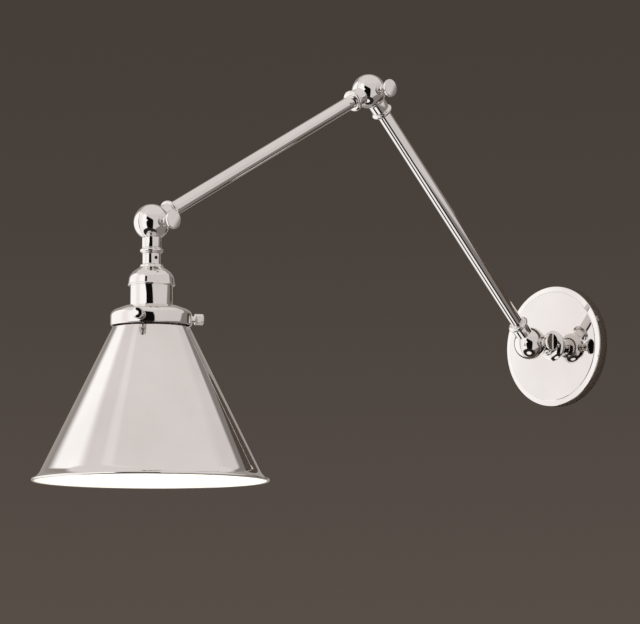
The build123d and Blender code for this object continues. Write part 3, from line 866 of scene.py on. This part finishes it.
@dataclass
class WallMount:
    """Backplate, rosette, side screws and the stem's collar."""

    wall: float = 0.0016
    border: float = 0.0060
    step: float = 0.0005
    step_slope: float = 0.0004
    drop: float = 0.0010
    rim_edge: float = 0.0009
    inner_edge: float = 0.0012
    facets: int = 192
    bore_r: float = 0.00505
    rosette_rim: float = 0.0010
    rosette_swell: float = 0.0005
    rosette_top_r: float = 0.0094
    rosette_steps: int = 8
    screw_angle: float = 24.0
    screw_z: float = 0.0064
    screw_shank_r: float = 0.0020
    screw_sunk: float = 0.0010
    head_r: float = 0.0033
    head_t: float = 0.0008
    slot_w: float = 0.0008
    stem_r: float = 0.0050

    def plate(self) -> BMesh:
        """Cup with a flat face, a fine step and a sloping border.

        Returns:
            A closed mesh.
        """
        low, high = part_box("backplate")
        radius, depth = high.x, -low.y
        face_r = radius - self.border
        inside = depth - self.step - self.wall
        return lathe([
            Corner(radius - self.wall, 0, CRISP), Corner(radius, 0, FINE),
            Corner(radius, depth - self.step - self.drop, self.rim_edge),
            Corner(face_r + self.step_slope, depth - self.step, CRISP), Corner(face_r, depth, FINE),
            Corner(self.bore_r, depth), Corner(self.bore_r, inside),
            Corner(radius - self.wall, inside, self.inner_edge),
        ], steps=self.facets)

    def rosette(self) -> BMesh:
        """Turned boss with a short rim and a domed shoulder.

        Returns:
            A closed mesh.
        """
        low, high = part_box("rosette")
        base, top, radius = -high.y, -low.y, high.x
        rim = base + self.rosette_rim
        dome = []
        for k in range(1, self.rosette_steps):
            part = k / self.rosette_steps
            swell = self.rosette_swell * math.sin(math.pi * part)
            r = radius + (self.rosette_top_r - radius) * part + swell
            dome.append(Corner(r, rim + (top - rim) * part + swell))
        return lathe([Corner(self.bore_r, base), Corner(radius, base, FINE), Corner(radius, rim, CRISP),
                      *dome, Corner(self.rosette_top_r, top, FINE), Corner(self.bore_r, top)])

    def side_screws(self, radius: float) -> BMesh:
        """Two round heads with a slot, on the plate's rim.

        Args:
            radius: The plate's radius.

        Returns:
            Both heads in one mesh.
        """
        pair = []
        foot, top = radius - self.screw_sunk, radius + self.head_t
        for turn in (0.0, math.pi):
            head = lathe([Corner(0, foot), Corner(self.screw_shank_r, foot),
                          Corner(self.screw_shank_r, radius), Corner(self.head_r, radius),
                          Corner(self.head_r, top, SOFT), Corner(0, top)], closed=False, steps=SMALL_STEPS)
            blade = bmesh.new()
            size = Matrix.Diagonal((self.head_r * 3, self.slot_w, self.head_t, 1))
            bmesh.ops.create_cube(blade, size=1.0, matrix=Matrix.Translation((0, 0, top)) @ size)
            cut = carve(head, (Cut.REMOVE, blade))
            spin = Matrix.Rotation(math.radians(self.screw_angle) + turn, 4, "Z")
            cut.transform(spin @ Matrix.Translation((0, 0, self.screw_z)) @ ALONG_X)
            pair.append(cut)
        return joined(*pair)

    def build(self, bench: Bench) -> None:
        """Makes the pieces on the wall.

        Args:
            bench: Where the pieces go.
        """
        wall = facing(Vector(), OUT)
        bench.piece("plate_cup", self.plate(), wall, Slot.NICKEL, "backplate")
        bench.piece("plate_boss", self.rosette(), wall, Slot.NICKEL, "rosette")
        screws = self.side_screws(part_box("backplate")[1].x)
        bench.piece("plate_screws", screws, wall, Slot.NICKEL, "side_screws")
        Collar("stem_collar", WALL_BALL, -OUT, self.stem_r).build(bench)


@dataclass
class ShadeHead:
    """Socket, fitter, shade and bulb, with +Z down from the head knuckle.

    A pair of a radius and a height is written (radius, height). The mitres are the parts of a wall's
    thickness by which its inner corners are moved to keep the wall even.
    """

    fit: float = 0.00005
    nipple_r: float = 0.0050
    shell_r: float = 0.01885
    shell_wall: float = 0.0008
    shell_start: float = 0.0505
    shell_end: float = 0.0900
    cap_neck_r: float = 0.00815
    cap_neck_end: float = 0.0380
    cap_ledge: tuple[float, float] = (0.0020, 0.0004)  # past the neck
    cap_foot: tuple[float, float] = (0.0024, 0.0026)  # past the neck
    cap_r: float = 0.0207
    cap_shoulder: float = 0.0480
    cap_slope_end: tuple[float, float] = (0.0042, 0.0034)  # short of the shoulder
    cap_turn: tuple[float, float] = (0.0010, 0.0006)  # in from the band, past the shoulder
    cap_end: float = 0.0570
    cap_lip: float = 0.0004
    cap_lip_heights: tuple[float, float] = (0.0014, 0.0010)  # short of the end
    cap_roof: float = 0.0020
    cap_edges: tuple[float, float, float] = (0.0016, 0.0022, 0.0012)  # slope, shoulder, inner corner
    grub_z: float = 0.0324
    grub_r: float = 0.0016
    grub_depth: float = 0.0200
    grub_azimuth: float = 75.0
    fitter_top: float = 0.0752
    fitter_flat_r: float = 0.0228
    fitter_shoulder: tuple[float, float] = (0.0338, 0.0792)
    fitter_r: float = 0.0364
    fitter_band: float = 0.0824
    fitter_end: float = 0.0932
    fitter_wall: float = 0.0013
    fitter_lip: float = 0.0010
    fitter_lip_mitre: float = 0.7
    fitter_rim_mitre: float = 0.5
    fitter_mitres: tuple[float, float, float] = (0.4, 0.6, 0.2)  # band, shoulder, top
    fitter_edges: tuple[float, ...] = (0.0012, 0.0022, 0.0020, 0.0007)  # outside, from top to rim
    fitter_inner_edges: tuple[float, ...] = (SOFT, 0.0014, 0.0014, 0.0008)  # inside, from rim to top
    fitter_facets: int = 160
    # thickness of the dark inner skin that paints shade inside the fitter
    lining: float = 0.0001
    lining_mitre: float = 0.6
    screw_z: float = 0.0860
    screw_azimuths: tuple[float, ...] = (30.0, 150.0, 270.0)
    screw_r: float = 0.0018
    screw_tip_gap: float = 0.0001
    screw_neck_r: float = 0.0029
    screw_neck_step: tuple[float, float] = (0.0003, 0.0004)  # stem's end and neck's start past the fitter
    screw_overlap: float = 0.0002
    screw_head_r: float = 0.0050
    screw_head: tuple[float, float] = (0.0400, 0.0474)
    knurls: int = 22
    knurl_depth: float = 0.00045
    shade_wall: float = 0.0010
    shade_neck_r: float = 0.0316
    shade_lip: tuple[float, float] = (0.0332, 0.0829)
    shade_lip_drop: float = 0.0009
    shade_lip_mitre: tuple[float, float] = (0.3, 0.9)
    shade_neck_mitre: float = 0.5
    shade_bend_mitre: float = 0.4
    shade_neck_end: float = 0.0924
    shade_top: tuple[float, float] = (0.0342, 0.0940)
    shade_angle: float = 26.2
    shade_mouth_r: float = 0.0993
    shade_edges: tuple[float, float, float] = (0.0008, 0.0010, 0.0040)  # neck, bend, mouth
    shade_flange_r: float = 0.1043
    shade_drop: float = 0.0044
    shade_roll: float = 0.00128
    shade_roll_angles: tuple[float, float] = (-120.0, 150.0)
    shade_facets: int = 256
    enamel_start: float = 0.6  # part of the shade's wall
    enamel_reach: float = 0.95  # part of the roll's radius
    enamel_edge: tuple[float, float, float] = (0.0001, 0.0002, 0.0004)  # inward, up and down at the roll
    bulb_neck_r: float = 0.01215
    bulb_neck: float = 0.0040
    bulb_wall: float = 0.0010
    thread_r: float = 0.0126
    thread_depth: float = 0.0004
    thread_pitch: float = 0.0036
    thread_start: float = 0.0010
    thread_wall: float = 0.0004
    thread_top: tuple[float, float] = (0.0110, 0.0108)  # outer and inner radius
    thread_top_t: float = 0.0006

    @property
    def frame(self) -> Matrix:
        """The head's frame: +Z down and +Y out from the wall."""
        return facing(HEAD_BALL, DOWN)

    def radial(self, bm: BMesh, azimuth: float, height: float) -> BMesh:
        """Turns a mesh on +Z to stick out sideways.

        Args:
            bm: The mesh.
            azimuth: Its direction in degrees, from out of the wall towards +X.
            height: Its height in the head's frame.

        Returns:
            The same mesh.
        """
        turn = Matrix.Rotation(math.radians(90 - azimuth), 4, "Z")
        bm.transform(turn @ Matrix.Translation((0, 0, height)) @ ALONG_X)
        return bm

    def cap(self) -> BMesh:
        """Spun cap with its neck, drilled for the grub screw.

        Returns:
            A closed mesh.
        """
        start = -(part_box("socket_cap")[1].z - HEAD_BALL.z)
        inner = self.shell_r + self.fit
        wall = self.cap_r - inner
        neck_r, neck_end = self.cap_neck_r, self.cap_neck_end
        (ledge_r, ledge_z), (foot_r, foot_z) = self.cap_ledge, self.cap_foot
        (slope_r, slope_z), (turn_r, turn_z) = self.cap_slope_end, self.cap_turn
        band_end, lip_start = (self.cap_end - height for height in self.cap_lip_heights)
        slope_edge, shoulder_edge, inner_edge = self.cap_edges
        lip_r = self.cap_r + self.cap_lip
        body = lathe([
            Corner(self.nipple_r, start), Corner(neck_r, start, ROUNDED), Corner(neck_r, neck_end, ROUNDED),
            Corner(neck_r + ledge_r, neck_end + ledge_z, EASED),
            Corner(neck_r + foot_r, neck_end + foot_z, ROUNDED),
            Corner(self.cap_r - slope_r, self.cap_shoulder - slope_z, slope_edge),
            Corner(self.cap_r - turn_r, self.cap_shoulder + turn_z, shoulder_edge),
            Corner(self.cap_r, band_end, CRISP), Corner(lip_r, lip_start, CRISP),
            Corner(lip_r, self.cap_end, FINE), Corner(inner, self.cap_end, CRISP),
            Corner(inner, self.cap_shoulder + wall, inner_edge),
            Corner(self.nipple_r, self.cap_shoulder - self.cap_roof),
        ], steps=BROAD_STEPS)
        drill = lathe([Corner(0, 0), Corner(self.grub_r, 0), Corner(self.grub_r, self.grub_depth),
                       Corner(0, self.grub_depth)], closed=False, steps=DRILL_STEPS)
        return carve(body, (Cut.REMOVE, self.radial(drill, self.grub_azimuth, self.grub_z)))

    def shell(self) -> BMesh:
        """Plain socket tube with a flange at its top.

        Returns:
            A closed mesh.
        """
        inner, under = self.shell_r - self.shell_wall, self.shell_start + self.shell_wall
        return lathe([Corner(self.nipple_r, self.shell_start), Corner(self.shell_r, self.shell_start, SOFT),
                      Corner(self.shell_r, self.shell_end, FINE), Corner(inner, self.shell_end, FINE),
                      Corner(inner, under, SOFT), Corner(self.nipple_r, under)], steps=BROAD_STEPS)

    def fitter_inside(self, rim_mitre: float) -> list[tuple[float, float]]:
        """Inner line of the fitter's wall.

        Args:
            rim_mitre: Part of the wall by which the line starts short of the lip.

        Returns:
            Radius and height of each corner, from the rim to the top.
        """
        shoulder_r, shoulder_z = self.fitter_shoulder
        w = self.fitter_wall
        band, shoulder, top = self.fitter_mitres
        return [
            (self.fitter_r - w, self.fitter_end - self.fitter_lip - w * rim_mitre),
            (self.fitter_r - w, self.fitter_band + w * band),
            (shoulder_r - w * shoulder, shoulder_z + w),
            (self.fitter_flat_r - w * top, self.fitter_top + w),
        ]

    def fitter(self) -> BMesh:
        """Spun fitter ring with a sloping top and a straight band.

        Returns:
            A closed mesh.
        """
        bore = self.shell_r + self.fit
        flat, shoulder, band, rim = self.fitter_edges
        lip_r, lip = self.fitter_r - self.fitter_lip, self.fitter_wall * self.fitter_lip_mitre
        inside = zip(self.fitter_inside(self.fitter_rim_mitre), self.fitter_inner_edges)
        return lathe([
            Corner(bore, self.fitter_top, CRISP), Corner(self.fitter_flat_r, self.fitter_top, flat),
            Corner(*self.fitter_shoulder, shoulder), Corner(self.fitter_r, self.fitter_band, band),
            Corner(self.fitter_r, self.fitter_end - self.fitter_lip, rim),
            Corner(lip_r, self.fitter_end, FINE), Corner(lip_r - lip, self.fitter_end - lip, FINE),
            *[Corner(r, z, edge) for (r, z), edge in inside],
            Corner(bore, self.fitter_top + self.fitter_wall, CRISP),
        ], steps=self.fitter_facets)

    def fitter_shade_skin(self) -> BMesh:
        """Dark inner skin of the fitter: painted shade that keeps the gap under the fitter black.

        Returns:
            A closed mesh.
        """
        t = self.lining
        top = (self.shell_r + t, self.fitter_top + self.fitter_wall)
        line = [*self.fitter_inside(self.lining_mitre), top]
        outer = [Corner(r + t, z - t, SOFT) for r, z in line]
        inner = [Corner(r - t, z + t, SOFT) for r, z in reversed(line)]
        return lathe([*outer, *inner], steps=BROAD_STEPS)

    def fitter_screw(self) -> BMesh:
        """Knurled thumb screw along +Z.

        Returns:
            Stem and head in one mesh.
        """
        start, end = self.screw_head
        tip, foot = self.shade_neck_r + self.screw_tip_gap, start + self.screw_overlap
        stem_end, neck_start = (self.fitter_r + past for past in self.screw_neck_step)
        stem = lathe([Corner(0, tip), Corner(self.screw_r, tip, SOFT), Corner(self.screw_r, stem_end),
                      Corner(self.screw_neck_r, neck_start, CRISP), Corner(self.screw_neck_r, foot),
                      Corner(0, foot)], closed=False, steps=SMALL_STEPS)
        head = bmesh.new()
        points = 4  # round each knurl
        bmesh.ops.create_circle(head, cap_ends=True, radius=self.screw_head_r, segments=self.knurls * points,
                                matrix=Matrix.Translation((0, 0, start)))
        for vert in list(head.verts)[::points]:
            vert.co.xy *= 1 - self.knurl_depth / self.screw_head_r
        grown = bmesh.ops.extrude_face_region(head, geom=head.faces[:])
        top = [v for v in grown["geom"] if isinstance(v, BMVert)]
        bmesh.ops.translate(head, verts=top, vec=(0, 0, end - start))
        bmesh.ops.recalc_face_normals(head, faces=head.faces)
        for z in (start, end):
            rim = [e for e in head.edges if all(abs(v.co.z - z) < JOIN for v in e.verts)]
            bmesh.ops.bevel(head, geom=rim, offset=EASED, offset_type="OFFSET", affect="EDGES", segments=3,
                            profile=0.5, material=-1, clamp_overlap=True)
        return joined(stem, head)

    def cone_height(self, radius: float) -> float:
        """Height at which the cone's outer face has a radius."""
        return self.shade_top[1] + (radius - self.shade_top[0]) / math.tan(math.radians(self.shade_angle))

    @property
    def flange_z(self) -> float:
        """Height of the shade's lower edge."""
        return self.cone_height(self.shade_mouth_r) + self.shade_drop

    def shade_line(self, inset: float) -> list[Corner]:
        """Line of the shade's outer face, or of its inner face with an inset.

        Args:
            inset: Distance inward from the outer face.

        Returns:
            The corners from the lip to the mouth.
        """
        slant = math.radians(self.shade_angle)
        across, up = inset * math.cos(slant), inset * math.sin(slant)
        mouth_z = self.cone_height(self.shade_mouth_r)
        (lip_r, lip_z), (top_r, top_z) = self.shade_lip, self.shade_top
        mitre_r, mitre_z = self.shade_lip_mitre
        neck_r = self.shade_neck_r - inset
        neck, bend, mouth = self.shade_edges
        return [
            Corner(lip_r - inset * mitre_r, lip_z - inset * mitre_z, CRISP),
            Corner(neck_r, lip_z + self.shade_lip_drop - inset * self.shade_neck_mitre, EASED),
            Corner(neck_r, self.shade_neck_end + inset * self.shade_bend_mitre, neck),
            Corner(top_r - across, top_z + up * self.shade_bend_mitre, bend),
            Corner(self.shade_mouth_r - across, mouth_z + up, mouth),
        ]

    def shade(self) -> BMesh:
        """Outer face of the spun shade with its rolled edge, closed at the lip and under the roll.

        Returns:
            A closed mesh.
        """
        roll_z = self.flange_z - self.shade_wall / 2
        roll = arc((self.shade_flange_r, roll_z), self.shade_roll, *self.shade_roll_angles, ROLL_STEPS)
        liner = self.shade_line(self.shade_wall * self.enamel_start)
        return lathe([*self.shade_line(0.0), *roll, *reversed(liner)], steps=self.shade_facets)

    def enamel(self) -> BMesh:
        """Thin coat of enamel over the whole inner face.

        Returns:
            A closed mesh.
        """
        liner = self.shade_line(self.shade_wall * self.enamel_start)[1:]
        face = self.shade_line(self.shade_wall)[1:]
        edge_r = self.shade_flange_r - self.shade_roll * self.enamel_reach
        inward, up, down = self.enamel_edge
        edge = [Corner(edge_r, self.flange_z - up), Corner(edge_r - inward, self.flange_z + down)]
        return lathe([*liner, *edge, *reversed(face)], steps=self.shade_facets)

    def bulb(self) -> BMesh:
        """Glass envelope: a ball that runs into a neck.

        Returns:
            A closed mesh.
        """
        low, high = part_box("bulb_glass")
        ball_r = (high.x - low.x) / 2
        tip, neck_z = HEAD_BALL.z - low.z, HEAD_BALL.z - high.z
        centre_z = tip - ball_r
        neck_r, wall = self.bulb_neck_r, self.bulb_wall
        drop = centre_z - neck_z - self.bulb_neck
        hollow = (neck_r**2 + drop**2 - ball_r**2) / (2 * (ball_r - neck_r))
        turn = math.degrees(math.atan2(drop, neck_r + hollow))
        shoulder = arc((neck_r + hollow, neck_z + self.bulb_neck), hollow, 180, 180 - turn, NECK_STEPS)
        ball = arc((0, centre_z), ball_r, -turn, 90, BULB_STEPS)
        outer = [Corner(neck_r, neck_z), *shoulder, *ball[1:]]
        inner = [Corner(max(c.r - wall, 0.0), c.z - (wall if c.z > centre_z else 0.0))
                 for c in reversed(outer)]
        return lathe([*outer, *inner], steps=BROAD_STEPS)

    def bulb_cap(self) -> BMesh:
        """Rolled screw thread of the bulb's cap as a wavy tube.

        Returns:
            A closed mesh.
        """
        low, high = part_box("bulb_cap")
        start, end = HEAD_BALL.z - high.z, HEAD_BALL.z - low.z
        wavy = []
        for k in range(THREAD_STEPS + 1):
            part = k / THREAD_STEPS
            wave = math.sin(TURN * (end - start) * part / self.thread_pitch)
            height = start + self.thread_start + (end - start - self.thread_start) * part
            wavy.append(Corner(self.thread_r + self.thread_depth * wave, height))
        inner = [Corner(c.r - self.thread_wall, c.z) for c in reversed(wavy)]
        outer_top, inner_top = self.thread_top
        return lathe([Corner(outer_top, start), *wavy, *inner[:-1],
                      Corner(inner_top, start + self.thread_top_t)])

    def build(self, bench: Bench) -> None:
        """Makes the head's pieces.

        Args:
            bench: Where the pieces go.
        """
        place = self.frame
        bench.piece("socket_top", self.cap(), place, Slot.NICKEL, "socket_cap")
        bench.piece("socket_tube", self.shell(), place, Slot.NICKEL, "socket_shell")
        bench.piece("fitter_spun", self.fitter(), place, Slot.NICKEL, "shade_fitter")
        # painted shade: a dark skin inside the fitter blacks out the gap between the fitter and the shade
        bench.piece("fitter_inside", self.fitter_shade_skin(), place, Slot.ZINC, "shade_fitter",
                    finish=bench.black_steel_and_painted_shade)
        bench.piece("shade_skin", self.shade(), place, Slot.NICKEL, "shade")
        # the enamel coat glows with painted light that stands in for the bulb's light inside the shade
        bench.piece("shade_enamel", self.enamel(), place, Slot.ENAMEL, "shade")
        bench.piece("bulb_envelope", self.bulb(), place, Slot.OPAL, "bulb_glass")
        bench.piece("bulb_thread", self.bulb_cap(), place, Slot.ZINC, "bulb_cap")
        Collar("head_collar", HEAD_BALL, DOWN, self.nipple_r).build(bench)
        for number, azimuth in enumerate(self.screw_azimuths, 1):
            screw = self.radial(self.fitter_screw(), azimuth, self.screw_z)
            bench.piece(f"fitter_knob_{number}", screw, place, Slot.NICKEL, f"fitter_screw_{number}")


# ------------------------------------------------------------------ studio
class Tone(Enum):
    """Colours of the studio."""

    LEFT_PANEL = (1.14, 1.12, 1.11)
    LEFT_PANEL_DIP = (0.97, 0.93, 0.92)
    RIGHT_PANEL = (0.70, 0.665, 0.655)
    GAP = (0.005, 0.004, 0.004)
    FAR_LEFT = (0.30, 0.27, 0.25)
    FAR_RIGHT = (0.235, 0.215, 0.205)
    BEHIND = (0.36, 0.33, 0.31)
    SKY = (0.77, 0.73, 0.715)
    SKY_RIDGE = (0.95, 0.91, 0.90)
    SPOT_RING = (0.022, 0.019, 0.017)
    SPOT = (1.08, 1.05, 1.04)
    BACKDROP_LOW = (0.125, 0.100, 0.083)
    BACKDROP_HIGH = (0.060, 0.049, 0.041)
    FLOOR = (0.52, 0.49, 0.46)
    FLOOR_CLOUDS = (0.56, 0.53, 0.50)
    PATCH = (0.13, 0.10, 0.08)
    PATCH_CLOUDS = (0.11, 0.09, 0.07)


@dataclass(frozen=True)
class Edge:
    """Soft edge of a panel: where it starts and where it is complete, in degrees."""

    start: float
    end: float

    def of(self, value: Value) -> Value:
        """0 before the edge and 1 past it."""
        return value.rise(self.start, self.end)


@dataclass
class Studio:
    """Camera, floor and the soft light that comes from all round.

    Angles of the light are in degrees: sideways from the camera's azimuth, and up from level.
    """

    azimuth: float = 42.864
    elevation: float = -6.339
    distance: float = 3.431
    aim: tuple[float, float, float] = (-0.0229, -0.330, 0.0103)
    lens: float = 204.5
    sensor: float = 36.0
    floor_z: float = -0.62
    floor_size: float = 6.0
    patch: float = 1.5
    patch_y: float = 0.001
    far_left: Edge = Edge(-162.0, -150.0)
    far_left_lean: float = 0.75
    left_dip: float = -76.0
    left_dip_edge: Edge = Edge(22.0, 2.0)
    left_dip_depth: float = 0.9
    gap_left: Edge = Edge(-34.0, -31.5)
    gap_notch: float = 6.0
    gap_notch_edge: Edge = Edge(8.0, 2.0)
    gap_notch_width: float = 8.0
    gap_right: Edge = Edge(11.0, 14.0)
    gap_closing: Edge = Edge(4.0, 44.0)
    gap_closing_width: float = 54.0
    right_end: Edge = Edge(85.0, 93.0)
    right_end_lean: float = 1.15
    behind: Edge = Edge(140.0, 165.0)
    sky: Edge = Edge(40.0, 46.0)
    ridge: float = -61.0
    ridge_edge: Edge = Edge(12.0, 3.0)
    ridge_strength: float = 0.5
    spot_angle: float = -35.0
    spot_height: float = -76.0
    spot_ring: Edge = Edge(38.0, 33.0)
    spot_edge: Edge = Edge(15.0, 12.0)
    backdrop: Edge = Edge(-8.0, 12.0)

    def camera(self) -> None:
        """Makes the camera and aims it."""
        turn, tilt = math.radians(self.azimuth), math.radians(self.elevation)
        away = Vector((math.sin(turn) * math.cos(tilt), -math.cos(turn) * math.cos(tilt), math.sin(tilt)))
        data = bpy.data.cameras.new("camera")
        data.lens = self.lens
        data.sensor_width = self.sensor
        data.clip_end = self.distance + 2 * self.floor_size
        eye = bpy.data.objects.new("camera", data)
        eye.location = Vector(self.aim) + away * self.distance
        eye.rotation_euler = away.to_track_quat("Z", "Y").to_euler()
        bpy.context.scene.collection.objects.link(eye)
        bpy.context.scene.camera = eye

    def prop(self, name: str, bm: BMesh, material: Material) -> Object:
        """Puts a piece of the studio into the scene.

        Args:
            name: Its name.
            bm: Its mesh. It is freed.
            material: Its finish.

        Returns:
            The new object.
        """
        mesh = bpy.data.meshes.new(name)
        bm.to_mesh(mesh)
        bm.free()
        mesh.materials.append(material)
        made = bpy.data.objects.new(name, mesh)
        bpy.context.scene.collection.objects.link(made)
        return made

    def floor(self) -> None:
        """Makes a large pale floor."""
        bm = bmesh.new()
        bmesh.ops.create_grid(bm, x_segments=1, y_segments=1, size=self.floor_size,
                              matrix=Matrix.Translation((0, 0, self.floor_z)))
        material, s = new_material("floor")
        tone = s.blend(s.noise(2, 3), Tone.FLOOR.value, Tone.FLOOR_CLOUDS.value)
        s.surface(Base_Color=tone, Roughness=0.75)
        self.prop("floor", bm, material).visible_glossy = False  # bright metal shows the studio's panels

    def wall_patch(self) -> None:
        """Makes a dark round patch behind the plate that only reflections show."""
        bm = bmesh.new()
        low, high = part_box("backplate")
        bmesh.ops.create_circle(bm, cap_ends=True, radius=(high.x - low.x) * self.patch, segments=ROUND_STEPS,
                                matrix=Matrix.Translation((0, self.patch_y, 0)) @ facing(Vector(), OUT))
        material, s = new_material("wall patch")
        s.surface(Base_Color=s.blend(s.noise(3, 2), Tone.PATCH.value, Tone.PATCH_CLOUDS.value), Roughness=0.9)
        patch = self.prop("wall_patch", bm, material)
        patch.visible_camera = patch.visible_diffuse = patch.visible_shadow = False

    def panels(self, s: Shader) -> tuple[NodeSocket, Value]:
        """Makes the light that the metal shows: two large soft panels with a dark gap between them.

        Args:
            s: The world's node tree.

        Returns:
            The light's colour, and the height above level in degrees.
        """
        direction = s.add("ShaderNodeTexCoord").outputs["Generated"]
        turn = math.radians(self.azimuth)
        right = (math.cos(turn), math.sin(turn), 0)
        toward = (math.sin(turn), -math.cos(turn), 0)
        tip, lean = math.radians(self.spot_height), math.radians(self.spot_angle)
        below = (Vector(toward) * math.cos(lean) + Vector(right) * math.sin(lean)) * math.cos(tip)
        below += Vector((0, 0, math.sin(tip)))

        def along(axis: Sequence[float]) -> Value:
            """Component of the direction along an axis."""
            node = s.add("ShaderNodeVectorMath", {"operation": "DOT_PRODUCT"}, {0: direction, 1: axis})
            return Value(s, node.outputs["Value"])

        angle = s.maths("ARCTAN2", along(right), along(toward)) * DEGREES
        height = s.maths("ARCSINE", along((0, 0, 1))) * DEGREES
        spot = s.maths("ARCCOSINE", along(below)) * DEGREES
        closing = self.gap_closing.of(height) * self.gap_closing_width
        notch = self.gap_notch_edge.of(abs(height - self.gap_notch)) * self.gap_notch_width
        sky = self.sky.of(height)
        ridge = self.ridge_edge.of(abs(angle - self.ridge))
        steps = (
            (self.far_left.of(angle + height * -self.far_left_lean), Tone.LEFT_PANEL),
            (self.left_dip_edge.of(abs(angle - self.left_dip)) * self.left_dip_depth, Tone.LEFT_PANEL_DIP),
            (self.gap_left.of(angle - notch), Tone.GAP),
            (self.gap_right.of(angle + closing), Tone.RIGHT_PANEL),
            (self.right_end.of(angle - height * self.right_end_lean), Tone.FAR_RIGHT),
            (self.behind.of(abs(angle)), Tone.BEHIND),
            (sky, Tone.SKY),
            (sky * ridge * self.ridge_strength, Tone.SKY_RIDGE),
            (self.spot_ring.of(spot), Tone.SPOT_RING),
            (self.spot_edge.of(spot), Tone.SPOT),
        )
        shown = Tone.FAR_LEFT.value
        for amount, tone in steps:
            shown = s.blend(amount, shown, tone.value)
        return shown, height

    def light(self) -> None:
        """Makes the world: the panels for all light, and a plain backdrop for the camera."""
        world = bpy.data.worlds.new("studio")
        world.use_nodes = True
        bpy.context.scene.world = world
        s = Shader(world.node_tree)
        light, height = self.panels(s)
        seen = Value(s, s.add("ShaderNodeLightPath").outputs["Is Camera Ray"])
        backdrop = s.blend(self.backdrop.of(height), Tone.BACKDROP_LOW.value, Tone.BACKDROP_HIGH.value)
        back = s.add("ShaderNodeBackground", None, {"Color": s.blend(seen, light, backdrop), "Strength": 1.0})
        output = s.add("ShaderNodeOutputWorld")
        s.tree.links.new(back.outputs[0], output.inputs["Surface"])

    def build(self) -> None:
        """Makes the studio."""
        bpy.context.scene.view_settings.view_transform = "Standard"
        self.camera()
        self.floor()
        self.wall_patch()
        self.light()


def main() -> None:
    """Builds the sconce's visible pieces, dresses the rest and lights them."""
    logging.basicConfig(level=logging.INFO, format="%(name)s %(message)s")
    bench = Bench()
    lower, upper = ELBOW_BALL - WALL_BALL, HEAD_BALL - ELBOW_BALL
    WallMount().build(bench)
    Knuckle("wall", WALL_BALL, -OUT, lower).build(bench)
    Knuckle("elbow", ELBOW_BALL, -lower, upper).build(bench)
    Knuckle("head", HEAD_BALL, -upper, DOWN).build(bench)
    Arm("lower_arm_tube", WALL_BALL, ELBOW_BALL,
        "lower_arm_lower_collar", "lower_arm_upper_collar").build(bench)
    Arm("upper_arm_tube", ELBOW_BALL, HEAD_BALL,
        "upper_arm_upper_collar", "upper_arm_lower_collar").build(bench)
    ShadeHead().build(bench)
    bench.dress()
    Studio().build()


if __name__ == "__main__":
    main()
